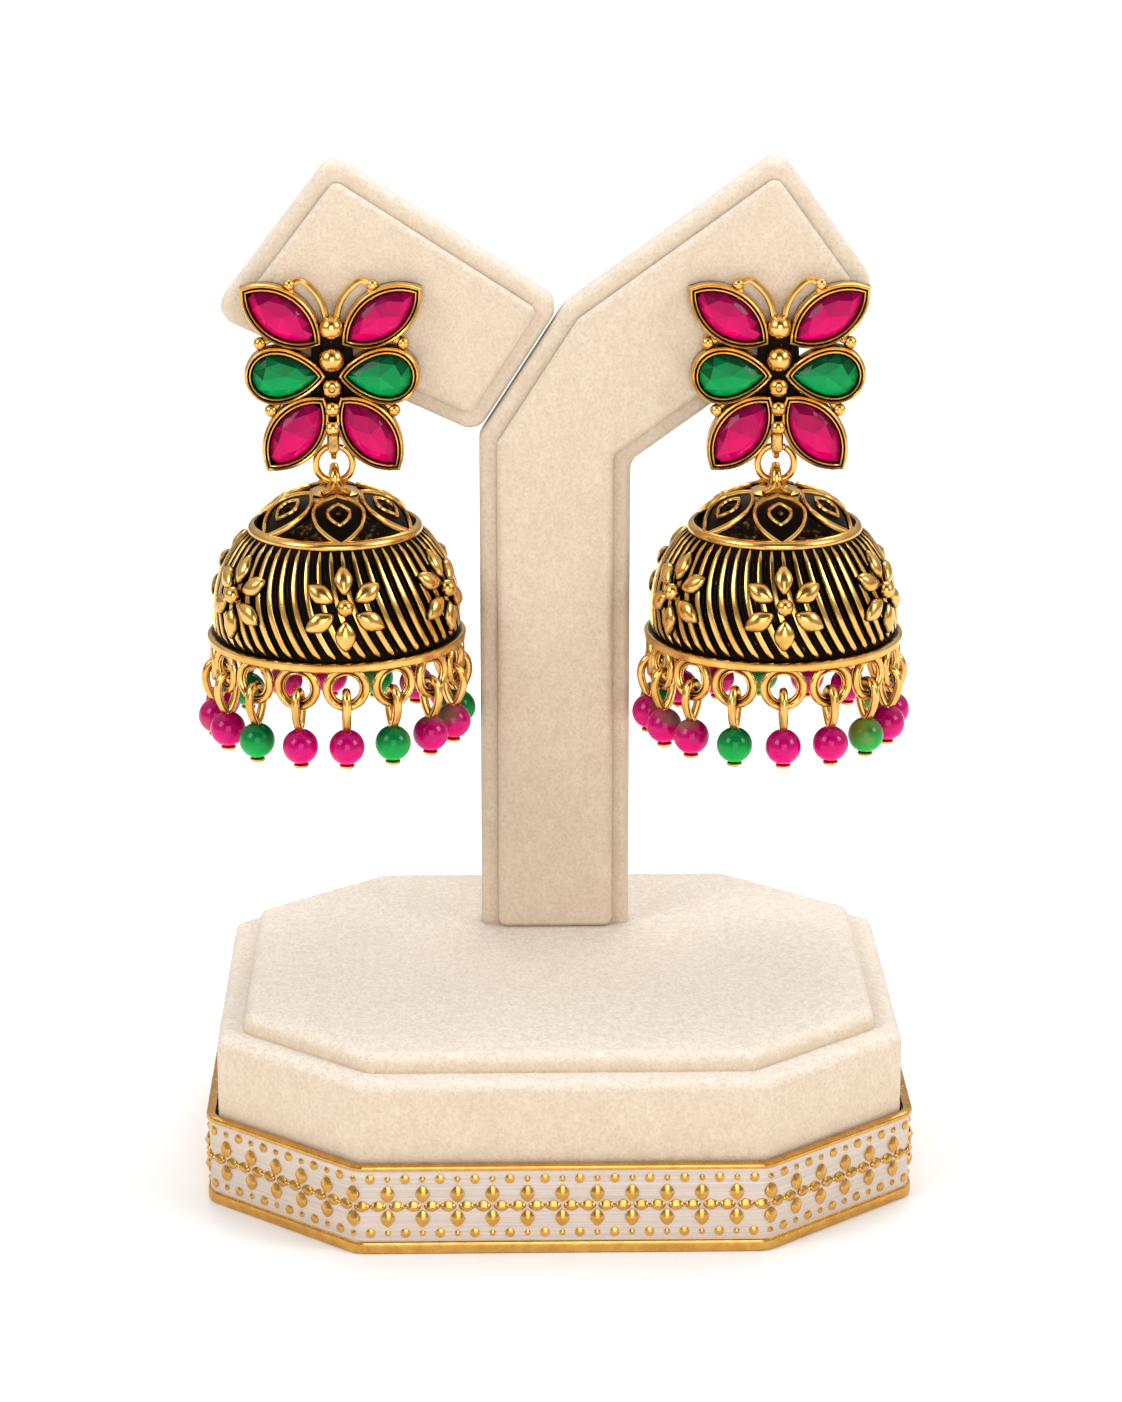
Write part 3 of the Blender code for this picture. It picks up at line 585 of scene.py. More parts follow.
# half-width, foot and top
SPINE = (1.3, -8.4, 4.2)
TONGUE = (0.7, -11.1, -8.0)
STUD_EYE_RADIUS = 1.2
STUD_EYE_WIRE = 0.42
STUD_EYE_PLACE = (0.0, -10.6, -0.72)
POST_HEIGHT = 3.65
POST_END = -9.9
POST_RADIUS = 0.45
# How far the painted reflection of one facet of a stone differs from the next, as an angle
RIPPLE_TURN = 2.4
RING_RADIUS = 2.1
RING_WIRE = 0.42
# Where the ring's wire starts and how far it goes round, in degrees
RING_START = 62.0
RING_SPAN = 356.5
RING_STEPS = 64
RING_HEIGHT = EAR_HEIGHT - 12.7
# side, its way along X, how far its arm lies back, and how far its bell is turned
EARS = (("left", -1, LEFT_RECESS, math.radians(6.0)), ("right", 1, 0.0, math.radians(1.0)))
# Rows of a cup's wall, round its outside and back down inside: distance from the stone, height, patina
BEZEL = (
    (0.84, 0.0, 0.7), (0.88, 1.2, 0.3), (0.86, 1.7, 0.0), (0.78, 1.98, 0.0),
    (0.64, 2.1, 0.0), (0.50, 2.02, 0.2), (0.42, 1.55, 1.0), (0.36, 1.55, 1.0),
    (0.31, 2.1, 0.3), (0.22, 2.22, 0.0), (0.13, 2.18, 0.0), (0.07, 1.95, 0.6),
    (0.05, 1.5, 1.0), (0.05, 0.7, 1.0),
)


def marquise(length, width):
    """Two arcs from tip to tip, along +X from the inner tip."""
    half, rise = length / 2, width / 2
    radius = (half * half + rise * rise) / (2 * rise)
    swing = math.asin(half / radius)
    count = STONE_POINTS // 2
    points = []
    for side in (-1, 1):
        for step in range(count):
            angle = side * swing * (1 - 2 * step / count)
            height = radius * math.cos(angle) - (radius - rise)
            points.append(Vector((half + radius * math.sin(angle), side * height)))
    return points


def pear(length, width):
    """A drop outline along +X from its tip."""
    shares = []
    for turn in turns(STONE_POINTS):
        bulge = math.sin(turn) * abs(math.sin(turn / 2)) ** 0.7
        shares.append(((1 - math.cos(turn)) / 2, bulge))
    widest = max(bulge for _, bulge in shares)
    return [Vector((length * share, -width / 2 * bulge / widest)) for share, bulge in shares]


def stone_outlines():
    """(kind, outline) of each stone: right-hand wing first, then the left-hand one."""
    found = []
    for kind, cut, inner, outer, width in STONES:
        start = Vector(inner)
        way = Vector(outer) - start
        turn = Matrix.Rotation(math.atan2(way.y, way.x), 2)
        drawn = (marquise if cut == "marquise" else pear)(way.length, width)
        shape = [start + turn @ point for point in drawn]
        found += [(kind, shape), (kind, mirrored(shape))]
    return found


def smooth_path(points, steps, closed=False):
    """Points of a smooth curve through the given ones."""
    places = [Vector(point) for point in points]
    if closed:
        places = places[-1:] + places + places[:2]
    else:
        places = [2 * places[0] - places[1]] + places + [2 * places[-1] - places[-2]]
    path = []
    for a, b, c, d in zip(places, places[1:], places[2:], places[3:]):
        for step in range(steps):
            t = step / steps
            square, cube = 2 * a - 5 * b + 4 * c - d, 3 * b - a - 3 * c + d
            path.append(0.5 * (2 * b + (c - a) * t + square * t ** 2 + cube * t ** 3))
    return path if closed else path + [places[-2]]


def sweep(shape, points, size, closed=False, sides=8, side_way=None, patina=0.0):
    """A wire along points. Its size is a half-width, two of them, or what gives them for a share of it."""
    loops = []
    count = len(points)
    for index, point in enumerate(points):
        after = points[(index + 1) % count] if closed or index + 1 < count else point
        before = points[index - 1] if closed or index else point
        way = (after - before).normalized()
        side = Vector(side_way or (0.0, 0.0, 1.0))
        side = (side - way * side.dot(way)).normalized()
        other = way.cross(side)
        half = size(index / max(1, count - (not closed))) if callable(size) else size
        wide, tall = half if isinstance(half, tuple) else (half, half)
        loops.append([point + side * math.cos(a) * wide + other * math.sin(a) * tall for a in turns(sides)])
    loft(shape, loops, wrap=closed, patina=[patina] * len(loops))


def turn_on(shape, profile, sides=24, place=None, wrap=False, patina=None):
    """A profile of (radius, height) turned round Z, then placed."""
    place = place or Matrix()
    loops = []
    for radius, height in profile:
        angles = turns(sides) if radius > 1e-6 else [0.0]
        loops.append([place @ Vector((radius * math.cos(a), radius * math.sin(a), height)) for a in angles])
    loft(shape, loops, wrap=wrap, patina=patina)


def ball(radius, rows=8, dimple=0.0):
    """The profile of a bead, from its foot to its top, where a dimple may be sunk."""
    profile = []
    for row in range(rows + 1):
        angle = math.pi * (row / rows - 0.5)
        profile.append((max(0.0, radius * math.cos(angle)), radius * math.sin(angle)))
    profile[0] = (0.0, -radius)
    if dimple:
        profile = [point for point in profile if point[1] < 0 or point[0] > dimple * 1.3]
        profile += [(dimple, radius * 0.86), (dimple * 0.8, radius * 0.55), (0.0, radius * 0.5)]
    else:
        profile[-1] = (0.0, radius)
    return profile


gold = Finish("antique gold", "antique_gold", Metallic=1.0)
recess = gold.span(gold.crevice(0.0009), 0.2, 0.68, 1.0, 0.0)
dark = gold.math("MAXIMUM", gold.attribute("patina"), recess)
rub = gold.grain(1100.0, 5.0, roughness=0.65)
dark = gold.math("ADD", dark, gold.span(rub, 0.25, 0.75, -0.22, 0.22))
dark = gold.span(dark, 0.30, 0.72)
tone = gold.mix(gold.span(gold.grain(420.0, 3.0), 0.3, 0.7), (0.93, 0.57, 0.18, 1.0), (0.70, 0.37, 0.08, 1.0))
gold.show("Base Color", gold.mix(dark, tone, (0.010, 0.006, 0.004, 1.0)))
gold.show("Roughness", gold.span(dark, 0.0, 1.0, 0.21, 0.5))
gold.bump(rub, 0.18, 0.00006)


def stone_finish(name, slot, deep, bright):
    """Foil-backed glass with painted reflections: each facet is painted between the deep and the bright
    colour by its share.
    """
    stone = Finish(name, slot, Roughness=0.06, IOR=1.5)
    stone.surface.inputs["Specular IOR Level"].default_value = 0.16
    stone.show("Base Color", stone.mix(stone.attribute("facet"), deep, bright))
    stone.bump(stone.grain(900.0), 0.03, 0.00003)
    return stone


ruby = stone_finish("ruby glass", "ruby", (0.16, 0.002, 0.035, 1.0), (0.82, 0.0, 0.14, 1.0))
emerald = stone_finish("emerald glass", "emerald", (0.002, 0.04, 0.014, 1.0), (0.0, 0.40, 0.09, 1.0))


def strip(half, foot, top):
    """The corners of a rectangle that stands on the stud's middle line."""
    return [Vector(corner) for corner in ((-half, foot), (half, foot), (half, top), (-half, top))]


def hanging(way_x, recess_y, height):
    """The place at a height straight below a stud's eye."""
    return Matrix.Translation((way_x * EAR_X, STUD_BACK + recess_y - STUD_EYE_PLACE[2], height))


def cut_stone(shape, outline):
    """A cut stone with a girdle, a ring of crown facets and a large flat table."""
    girdle_outline = offset(outline, -0.08)[::2]
    middle = sum(girdle_outline, Vector((0.0, 0.0))) / len(girdle_outline)
    count = len(girdle_outline)

    def ring(share, height, step=1):
        points = [middle + (point - middle) * share for point in girdle_outline[::step]]
        return [shape.verts.new((*point, height)) for point in points]

    foot = ring(0.6, 0.95)
    girdle = ring(1.0, 1.62)
    table = ring(0.68, 2.2, 2)
    for index in range(count):
        after = (index + 1) % count
        shape.faces.new((foot[index], foot[after], girdle[after], girdle[index]))
    centre = shape.verts.new((*middle, 2.21))
    for index, corner in enumerate(table):
        after = table[(index + 1) % len(table)]
        first, middle_one, last = (girdle[(2 * index + step) % count] for step in range(3))
        shape.faces.new((first, middle_one, corner))
        shape.faces.new((middle_one, after, corner))
        shape.faces.new((middle_one, last, after))
        shape.faces.new((corner, after, centre))
    shape.faces.new(foot)


def paint_facet_glints(piece):
    """Each facet's painted reflection, as its share of the bright colour: by its slope, brighter where it
    points down, and in the table by its direction.
    """
    shares = piece.data.attributes.new("facet", "FLOAT", "FACE")
    for face, share in zip(piece.data.polygons, shares.data):
        ripple = math.sin(face.index * RIPPLE_TURN)
        if face.normal.y < -0.98:
            out = face.center - piece.data.vertices[max(face.vertices)].co
            share.value = 0.54 - 0.22 * out.z / out.length + 0.06 * ripple
        else:
            share.value = max(0.0, min(1.0, 0.40 - 0.95 * face.normal.z + 0.22 * ripple))


for side, way_x, recess_y, _ in EARS:
    stud = new_shape()
    gems = {"ruby": new_shape(), "emerald": new_shape()}
    for kind, outline in stone_outlines():
        walls = [offset(outline, row[0], 1.2) for row in BEZEL]
        loops = [[(*point, row[1]) for point in wall] for wall, row in zip(walls, BEZEL)]
        loft(stud, loops, patina=[row[2] for row in BEZEL])
        cut_stone(gems[kind], outline)
    plate(stud, strip(*SPINE), 0.6, plate_rows(0.0, 1.4, 0.2, 0.3), 0.85)
    half_sheet = [Vector(corner) for corner in SPINE_SHEET]
    plate(stud, half_sheet + mirrored(half_sheet), 0.3, plate_rows(0.0, 0.8, 0.1, 0.2), 1.0)
    plate(stud, strip(*TONGUE), 0.6, plate_rows(0.0, 1.3, 0.2, 0.35), 0.42)
    for index, (height, radius) in enumerate(SPINE_BEADS):
        bead_place = Matrix.Translation((0.0, height, SPINE_SEAT))
        turn_on(stud, ball(radius, 10, 0.4 if index == 2 else 0.0), 20, bead_place)
    for way in (-1, 1):
        for u, v, radius, root in SIDE_BEADS:
            turn_on(stud, ball(radius), 14, Matrix.Translation((way * u, v, 1.3)))
            bridge = [Vector((way * root[0], root[1], 1.1)), Vector((way * u, v, 1.2))]
            sweep(stud, bridge, 0.55, patina=0.3)
        feeler = smooth_path([(way * u, v, 1.25) for u, v in FEELER], 6)
        sweep(stud, feeler, 0.4)
    eye_ways = [Vector((0.0, math.sin(angle), math.cos(angle))) for angle in turns(20)]
    eye_ring = [Vector(STUD_EYE_PLACE) + STUD_EYE_RADIUS * way for way in eye_ways]
    sweep(stud, eye_ring, STUD_EYE_WIRE, closed=True, side_way=(1.0, 0.0, 0.0))
    post = [(0.0, POST_END), (0.3, POST_END + 0.1), (POST_RADIUS, POST_END + 0.5)]
    post += [(POST_RADIUS, 0.7), (0.0, 0.7)]
    post_place = Matrix.Translation((0.0, POST_HEIGHT, 0.0))
    turn_on(stud, post, 14, post_place)
    stud_place = facing(way_x * EAR_X, STUD_BACK + recess_y, EAR_HEIGHT)
    add_piece(f"{side}_butterfly", stud, gold, [f"{side}_butterfly_setting"], stud_place)
    for kind, finish, count in (("ruby", ruby, 4), ("emerald", emerald, 2)):
        nodes = [f"{side}_{kind}_{number + 1}" for number in range(count)]
        cut = add_piece(f"{side}_cut_{kind}", gems[kind], finish, nodes, stud_place, sharp=1.0)
        paint_facet_glints(cut)

    # Ear nut: a turned gilt barrel with a groove round its middle, pushed on the post behind the arm.
    nut = new_shape()
    nut_profile = (
        (0.85, -8.9), (1.9, -8.9), (2.25, -8.75), (2.4, -8.4), (2.4, -7.9), (2.15, -7.7), (2.15, -7.1),
        (2.4, -6.9), (2.4, -6.3), (2.25, -6.0), (1.9, -5.9), (0.85, -5.9),
    )
    turn_on(nut, nut_profile, 40, post_place, wrap=True)
    add_piece(f"{side}_post_nut", nut, gold, [f"{side}_ear_nut"], stud_place)

    # Jump ring: round gilt wire bent to a ring, with its cut closed at one side. It hangs in the stud's eye.
    wire_ring = new_shape()
    ring_points = []
    for step in range(RING_STEPS + 1):
        angle = math.radians(RING_START + RING_SPAN * step / RING_STEPS)
        ring_points.append(Vector((RING_RADIUS * math.cos(angle), 0.0, RING_RADIUS * math.sin(angle))))
    sweep(wire_ring, ring_points, RING_WIRE, sides=14, side_way=(0.0, 1.0, 0.0))
    ring_place = hanging(way_x, recess_y, RING_HEIGHT)
    add_piece(f"{side}_link", wire_ring, gold, [f"{side}_jump_ring"], ring_place, f"{side}_ring")

# Bells: each jhumka is a cast and gilt dome, left dark in its hollows. Six petals with raised rims
# make its pierced cap, over a ring band, a belly of fine twisted ribs with six raised flowers, and
# a flat rim with sixteen cast loops. A strap-like bail at its top goes over the jump ring.
DOME = (
    (2.5, -0.95), (4.2, -1.3), (6.4, -2.3), (8.0, -3.55), (9.6, -5.3),
    (10.9, -7.0), (12.35, -9.2), (13.45, -11.8), (13.85, -14.4), (14.0, -17.6),
)
RING_BAND = 9.6
RIM_TOP = -17.6
RIM_FOOT = -18.6
RIM_RADIUS = 15.0
PETALS = 6
PETAL_HALF = 2.95
RIBS = 52
RIB_TWIST = 16.0
FLOWERS = 6
FLOWER_PETALS = 6
FLOWER_REACH = 3.1
FLOWER_HEIGHT = -11.35
LOOPS = 16
LOOP_CIRCLE = 14.2
LOOP_HEIGHT = -20.58
BAIL_MIDDLE = 0.25
BAIL_DEEP = 1.38
BAIL_TALL = 1.55
BAIL_LEG = ((0.28, 1.5, 0.7), (0.36, 1.68, 0.25), (0.56, 2.0, -0.22), (0.96, 2.4, -0.6), (1.55, 2.72, -0.88))
BAIL_SKIRT = ((1.4, 0.6), (1.66, 0.1), (2.1, -0.42), (2.72, -0.9))

dome_path = smooth_path([(radius, height, 0.0) for radius, height in DOME], 8)
dome_lengths = [0.0]
for dome_first, dome_second in zip(dome_path, dome_path[1:]):
    dome_lengths.append(dome_lengths[-1] + (dome_second - dome_first).length)


def down_to(radius=None, height=None):
    """How far down the dome's side a radius or a height lies, from the cap's edge."""
    for length, point in zip(dome_lengths, dome_path):
        if (radius is not None and point.x >= radius) or (height is not None and point.y <= height):
            return length
    return dome_lengths[-1]


def on_dome(down, angle, out=0.0):
    """A point of the dome: how far down its side, the angle from the front towards +X, and how far out."""
    index = 0
    while index < len(dome_lengths) - 2 and dome_lengths[index + 1] < down:
        index += 1
    first, second = dome_path[index], dome_path[index + 1]
    share = (down - dome_lengths[index]) / (dome_lengths[index + 1] - dome_lengths[index])
    point = first.lerp(second, share)
    way = (second - first).normalized()
    radius = point.x - way.y * out
    height = point.y + way.x * out
    return Vector((radius * math.sin(angle), -radius * math.cos(angle), height))


def dome_radius(down):
    return math.hypot(*on_dome(down, 0.0)[:2])


round_bell = Growth("copies round the bell", Count="Int", Start="Float", Material="Material")
copy_number = round_bell.output("GeometryNodeInputIndex")
copy_share = round_bell.math("DIVIDE", copy_number, round_bell.given["Count"])
copy_turn = round_bell.math("MULTIPLY", copy_share, math.tau)
copy_turn = round_bell.math("ADD", copy_turn, round_bell.given["Start"])
copy_angles = round_bell.output("ShaderNodeCombineXYZ", {"Z": copy_turn})
copy_rotation = round_bell.output("FunctionNodeEulerToRotation", {0: copy_angles})
copy_points = round_bell.output("GeometryNodePoints", {"Count": round_bell.given["Count"]})
round_bell.end(copy_points, round_bell.given["Geometry"], copy_rotation)


def all_round(shape, count, start):
    """Copies of a shape round the bell, the first at an angle from the front."""
    return round_bell.grow(shape, Count=count, Start=start, Material=gold.material)


def shade_rows(shape, section):
    """Gives each point of a shape the patina of its place in the section that was carried along."""
    layer = shape.verts.layers.float["patina"]
    for index, vert in enumerate(shape.verts):
        vert[layer] = section[index % len(section)][2]


def make_shell():
    """The dark body under the ribs, with its ring band, rim and inner wall, as one closed wall."""
    start = down_to(radius=RING_BAND)
    end = down_to(height=RIM_TOP)
    profile = [(9.05, -5.75, 1.0), (9.1, -5.0, 0.6), (9.35, -4.72, 0.0), (9.75, -4.78, 0.0)]
    profile += [(10.05, -5.1, 0.0), (10.12, -5.45, 0.1), (9.98, -5.72, 1.0)]
    for step in range(1, 18):
        point = on_dome(start + 0.5 + (end - start - 0.5) * step / 17, 0.0)
        profile.append((-point.y, point.z, 1.0))
    edge = 0.18
    profile += [
        (RIM_RADIUS - 0.5, RIM_TOP, 0.7),
        (RIM_RADIUS - edge, RIM_TOP - 0.08, 0.0),
        (RIM_RADIUS, RIM_TOP - edge - 0.08, 0.0),
        (RIM_RADIUS, RIM_FOOT + edge, 0.0),
        (RIM_RADIUS - edge, RIM_FOOT, 0.0),
        (13.7, RIM_FOOT, 0.5),
    ]
    for step in range(13):
        point = on_dome(end - (end - start - 0.8) * step / 12, 0.0, -0.9)
        profile.append((-point.y, point.z, 0.75))
    shell = new_shape()
    turn_on(shell, [row[:2] for row in profile], 120, wrap=True, patina=[row[2] for row in profile])
    return shell


def make_rib(half, rise, start_gap, least_patina):
    """One rib, which turns towards +X on its way down to the rim."""
    start = down_to(radius=RING_BAND) + start_gap
    end = down_to(height=RIM_TOP) - 0.25
    rib = new_shape()
    rows = 22
    slope = ((-1.0, -0.1, 1.0), (-0.86, 0.5, 0.9), (-0.62, 0.9, 0.1), (0.0, 1.0, 0.0))
    section = [*slope, *((-across, out, shade) for across, out, shade in reversed(slope[:3]))]
    loops = []
    for row in range(rows + 1):
        share = row / rows
        down = start + (end - start) * share
        radius = dome_radius(down)
        turn = math.radians(RIB_TWIST) * (0.15 * share + 0.85 * share ** 2.5)
        taper = min(1.0, 0.35 + 9.0 * share, 0.35 + 14.0 * (1.0 - share))
        width = half * min(1.0, 0.55 + 0.6 * share) * taper
        height = rise * min(1.0, 0.2 + 8.0 * share, 0.2 + 14.0 * (1.0 - share))
        loops.append([on_dome(down, turn + width * x / radius, height * out) for x, out, _ in section])
    loft(rib, loops)
    shade_rows(rib, [(x, out, max(shade, least_patina)) for x, out, shade in section])
    return rib


def petal_width(share, half=PETAL_HALF):
    """A petal's half-width, at a share of its length."""
    return half * 4.0 * share * (1.0 - share)


def make_petal():
    """One petal of the cap: a dark curved plate, a raised rim and a raised eye in its middle."""
    top = down_to(radius=3.15)
    tip = down_to(radius=RING_BAND) - 0.15
    petal = new_shape()
    rows, across = 18, 8
    loops = []
    for row in range(rows + 1):
        share = 0.015 + 0.97 * row / rows
        down = top + (tip - top) * share
        half = petal_width(share) / dome_radius(down)
        front = [on_dome(down, half * (2 * step / across - 1)) for step in range(across + 1)]
        back = [on_dome(down, half * (1 - 2 * step / across), -0.75) for step in range(across + 1)]
        loops.append(front + back)
    loft(petal, loops, patina=[1.0] * len(loops))

    def rim_points(middle_top, middle_foot, half_width, out, steps):
        points = []
        for side in (1, -1):
            for step in range(steps):
                share = step / steps if side == 1 else 1 - step / steps
                down = middle_top + (middle_foot - middle_top) * share
                half = petal_width(share, half_width)
                points.append(on_dome(down, side * half / dome_radius(down), out))
        return points

    sweep(petal, rim_points(top, tip, PETAL_HALF, 0.12, 16), (0.32, 0.26), closed=True)
    eye_top, eye_foot = down_to(radius=4.9), down_to(radius=7.7)
    sweep(petal, rim_points(eye_top, eye_foot, 1.25, 0.16, 12), (0.24, 0.22), closed=True)
    middle = on_dome((eye_top + eye_foot) / 2, 0.0, 0.0)
    turn_on(petal, ball(0.42, 6), 10, Matrix.Translation(middle), patina=[0.8] * 7)
    return petal


def make_flower():
    """A raised flower of six almond petals round a bead, which follows the belly's curve."""
    centre = down_to(height=FLOWER_HEIGHT)
    radius = dome_radius(centre)
    flower = new_shape()

    def place(right, up, out):
        return on_dome(centre - up, right / radius, out)

    for turn in turns(FLOWER_PETALS):
        cos, sin = math.cos(turn), math.sin(turn)
        loops = []
        for scale, out in ((1.0, 0.1), (1.0, 0.55), (0.93, 0.8), (0.72, 1.02), (0.4, 1.16)):
            loop = []
            for angle in turns(16):
                long = FLOWER_REACH + scale * 1.8 * math.cos(angle)
                wide = scale * 1.12 * math.sin(angle) * (1.0 - 0.5 * math.cos(angle) ** 2)
                loop.append(place(wide * cos + long * sin, long * cos - wide * sin, out))
            loops.append(loop)
        loops.append([place(FLOWER_REACH * sin, FLOWER_REACH * cos, 1.22)])
        loft(flower, loops, patina=[1.0, 0.8, 0.5, 0.12, 0.0, 0.0])
    middle = place(0.0, 0.0, 0.82)
    turn_on(flower, ball(1.0, 8), 16, Matrix.Translation(middle))
    return flower


def make_loop():
    """One cast loop under the rim: a heavy outer ring, a dark groove and a thinner inner ring."""
    half = (
        (1.50, 0.00, 0.3), (1.53, 0.16, 0.1), (1.64, 0.26, 0.0), (1.76, 0.22, 0.1), (1.85, 0.08, 1.0),
        (1.95, 0.22, 0.3), (2.10, 0.42, 0.0), (2.32, 0.48, 0.0), (2.55, 0.38, 0.0), (2.70, 0.16, 0.2),
    )
    back = [(across, -out, shade) for across, out, shade in reversed(half[1:])]
    section = [*half, (2.72, 0.0, 0.3), *back]
    loop = new_shape()
    rings = []
    for angle in turns(28):
        cos, sin = math.cos(angle), math.sin(angle)
        rings.append([Vector((x * cos, -LOOP_CIRCLE - out, LOOP_HEIGHT + x * sin)) for x, out, _ in section])
    loft(loop, rings, wrap=True)
    shade_rows(loop, section)
    return loop


def make_crown():
    """The cap's disc with its worn facets, the plate under it, the bail and its flared foot."""
    crown = new_shape()
    disc = [(0.0, -1.9), (2.6, -1.75), (3.05, -1.38), (3.02, -1.16), (2.3, -0.84), (0.0, -0.72)]
    turn_on(crown, disc, 10, patina=[1.0, 1.0, 0.2, 0.0, 0.0, 0.0])
    under = [(0.0, -2.6), (5.6, -2.75), (5.6, -2.35), (4.2, -1.62), (2.6, -1.3), (0.0, -1.3)]
    turn_on(crown, under, 48, patina=[1.0, 1.0, 0.8, 0.62, 0.55, 0.5])
    bail = []
    for angle in turns(32):
        bail.append(Vector((0.0, BAIL_DEEP * math.sin(angle), BAIL_MIDDLE + BAIL_TALL * math.cos(angle))))

    def strap(share):
        low = 0.5 - 0.5 * math.cos(math.tau * share)
        return (0.52 + 0.34 * low, 0.42 + 0.06 * low)

    sweep(crown, bail, strap, closed=True, sides=12, side_way=(1.0, 0.0, 0.0))
    for way in (-1, 1):
        for lean in (-1, 1):
            leg = smooth_path([(x * lean, -y * way, z) for x, y, z in BAIL_LEG], 4)
            sweep(crown, leg, lambda share: (0.38 + 0.06 * share, 0.32))
        skirt = smooth_path([(0.0, -y * way, z) for y, z in BAIL_SKIRT], 4)
        sweep(crown, skirt, lambda share: (0.4 + 1.05 * share, 0.22), side_way=(1.0, 0.0, 0.0), patina=0.3)
    return crown


for side, way_x, recess_y, turn in EARS:
    hinge = hanging(way_x, recess_y, RING_HEIGHT - RING_RADIUS)
    shapes = {
        "shell": make_shell(),
        "ribs": all_round(make_rib(0.5, 0.46, 0.55, 0.0), RIBS, turn),
        "rib_lines": all_round(make_rib(0.1, 0.16, 0.9, 0.8), RIBS, turn + math.pi / RIBS),
        "cap_petals": all_round(make_petal(), PETALS, turn),
        "flowers": all_round(make_flower(), FLOWERS, turn),
        "loops": all_round(make_loop(), LOOPS, turn),
        "crown": make_crown(),
    }
    for part, shape in shapes.items():
        place = hinge @ Matrix.Rotation(turn, 4, "Z") if part in ("shell", "crown") else hinge
        add_piece(f"{side}_bell_{part}", shape, gold, [f"{side}_bell"], place, f"{side}_bell")

# Drops: a round glass bead on a gilt head pin, whose long eye is closed round the foot of each
# loop. The beads are hot pink and green, clouded in the glass, and each hangs a little askew.
EYE_TOP = -0.5
EYE_LONG = 4.46
EYE_HALF = 1.25
PIN_WIRE = 0.5
BEAD_RADIUS = 2.05
BEAD_MIDDLE = -7.03
BEAD_HOLE = 0.3
DROP_COLOURS = {"left": "PGPPGPPGPPGPPPGP", "right": "PPGPPGPPGPPGPPPG"}
DROP_LEAN = math.radians(1.6)
DROP_SEEDS = {"left": 3, "right": 11}

on_loops = Growth("a drop in each loop", Drop="Object", Lean="Float", Seed="Int", Material="Material")
drop_chosen, drop_turn = (
    on_loops.output("GeometryNodeInputNamedAttribute", {"Name": label}, data_type=kind)
    for label, kind in (("chosen", "INT"), ("turn", "FLOAT"))
)
lean_range = {2: on_loops.math("MULTIPLY", on_loops.given["Lean"], -1.0), 3: on_loops.given["Lean"]}
lean_x, lean_y = (
    on_loops.node("FunctionNodeRandomValue", {**lean_range, "Seed": seed}, data_type="FLOAT").outputs[1]
    for seed in (on_loops.given["Seed"], on_loops.math("ADD", on_loops.given["Seed"], 7.0))
)
drop_angles = on_loops.output("ShaderNodeCombineXYZ", {"X": lean_x, "Y": lean_y, "Z": drop_turn})
drop_rotation = on_loops.output("FunctionNodeEulerToRotation", {0: drop_angles})
drop = on_loops.node("GeometryNodeObjectInfo", {"Object": on_loops.given["Drop"]}).outputs["Geometry"]
on_loops.end(on_loops.given["Geometry"], drop, drop_rotation, Selection=drop_chosen)


def bead_finish(name, slot, body, top, cloud):
    """Tinted glass with a cloud of another colour in it, painted bright below and deep above by which way
    each face points: a painted glow and shade.
    """
    glass = Finish(name, slot, Roughness=0.05, IOR=1.48)
    glass.surface.inputs["Specular IOR Level"].default_value = 0.24
    swirl = glass.span(glass.grain(170.0, 2.0), 0.60, 0.80)
    # Painted light: the glass is painted bright where it faces down and deep where it faces up.
    upright = glass.node("ShaderNodeNewGeometry").outputs["Normal"]
    painted_top_shade = glass.span(glass.node("ShaderNodeSeparateXYZ", {0: upright}).outputs["Z"], -0.85, 0.6)
    tint = glass.mix(painted_top_shade, body, top)
    glass.show("Base Color", glass.mix(swirl, tint, cloud))
    glass.bump(glass.grain(500.0), 0.02, 0.00004)
    return glass


pinks = ((0.92, 0.0, 0.22, 1.0), (0.36, 0.0, 0.09, 1.0), (0.12, 0.16, 0.05, 1.0))
greens = ((0.0, 0.54, 0.08, 1.0), (0.0, 0.13, 0.025, 1.0), (0.30, 0.28, 0.03, 1.0))
pink_glass = bead_finish("hot pink glass", "pink_bead", *pinks)
green_glass = bead_finish("green glass", "green_bead", *greens)

bead = new_shape()
bead_angles = [math.radians(degrees) for degrees in range(-80, 81, 10)]
bead_profile = [
    (BEAD_HOLE, BEAD_MIDDLE - BEAD_RADIUS + 0.12),
    *((BEAD_RADIUS * math.cos(a), BEAD_MIDDLE + BEAD_RADIUS * math.sin(a)) for a in bead_angles),
    (BEAD_HOLE, BEAD_MIDDLE + BEAD_RADIUS - 0.12),
]
turn_on(bead, bead_profile, 32)

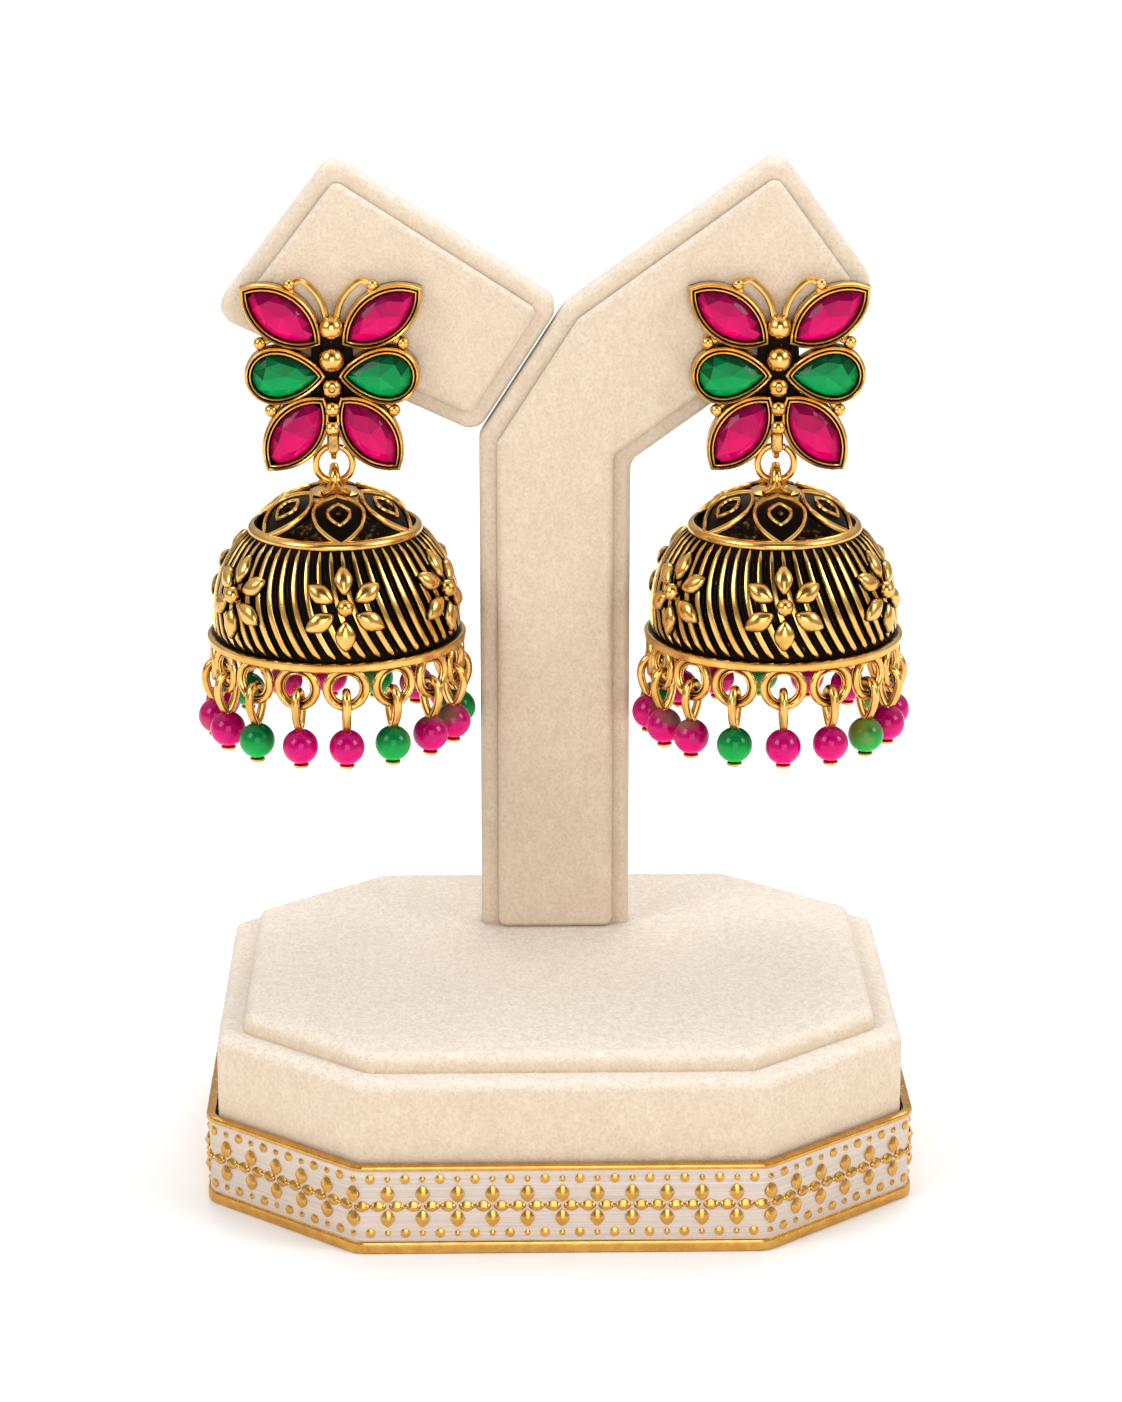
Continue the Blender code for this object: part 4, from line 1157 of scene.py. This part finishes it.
pin = new_shape()
eye_points = []
for eye_angle in turns(28):
    down_share = 0.5 - 0.5 * math.cos(eye_angle)
    pinch = 1.0 - 0.5 * down_share ** 2
    eye_y = EYE_HALF * math.sin(eye_angle) * pinch
    eye_points.append(Vector((0.0, eye_y, EYE_TOP - EYE_LONG * down_share)))
sweep(pin, eye_points, PIN_WIRE, closed=True, sides=10, side_way=(1.0, 0.0, 0.0))
head_top = BEAD_MIDDLE - BEAD_RADIUS + 0.06
head = ((0.0, -0.5), (0.62, -0.5), (0.86, -0.36), (0.88, -0.16), (0.7, 0.0), (0.0, 0.1))
turn_on(pin, [(radius, head_top + rise) for radius, rise in head], 20)
collar_top = EYE_TOP - EYE_LONG
collar = ((0.0, -0.5), (0.55, -0.3), (0.5, 0.1), (0.0, 0.3))
turn_on(pin, [(radius, collar_top + rise) for radius, rise in collar], 14)

drop_shapes = {"bead": bead, "pin": pin}
drop_hosts = {name: new_object(name, mesh_of(name, shape)) for name, shape in drop_shapes.items()}

for side, way_x, recess_y, turn in EARS:
    hinge = hanging(way_x, recess_y, RING_HEIGHT - RING_RADIUS)
    nodes = {"P": [], "G": []}
    for index, mark in enumerate(DROP_COLOURS[side]):
        nodes[mark].append(f"{side}_drop_{index + 1:02d}")
    for label, host_name, marks, finish in (
        ("pink_beads", "bead", "P", pink_glass),
        ("green_beads", "bead", "G", green_glass),
        ("drop_pins", "pin", "PG", gold),
    ):
        places = new_shape()
        chosen_layer = places.verts.layers.int.new("chosen")
        turn_layer = places.verts.layers.float.new("turn")
        for index, mark in enumerate(DROP_COLOURS[side]):
            angle = turn + math.tau * index / LOOPS
            x, y = LOOP_CIRCLE * math.sin(angle), -LOOP_CIRCLE * math.cos(angle)
            spot = places.verts.new((x, y, LOOP_HEIGHT))
            spot[chosen_layer] = int(mark in marks)
            spot[turn_layer] = angle
        values = {"Drop": drop_hosts[host_name], "Lean": DROP_LEAN, "Seed": DROP_SEEDS[side]}
        drops = on_loops.grow(places, **values, Material=finish.material)
        stands_for = [node for mark in marks for node in nodes[mark]]
        add_piece(f"{side}_{label}", drops, finish, stands_for, hinge, f"{side}_bell")
for host in drop_hosts.values():
    bpy.data.objects.remove(host)
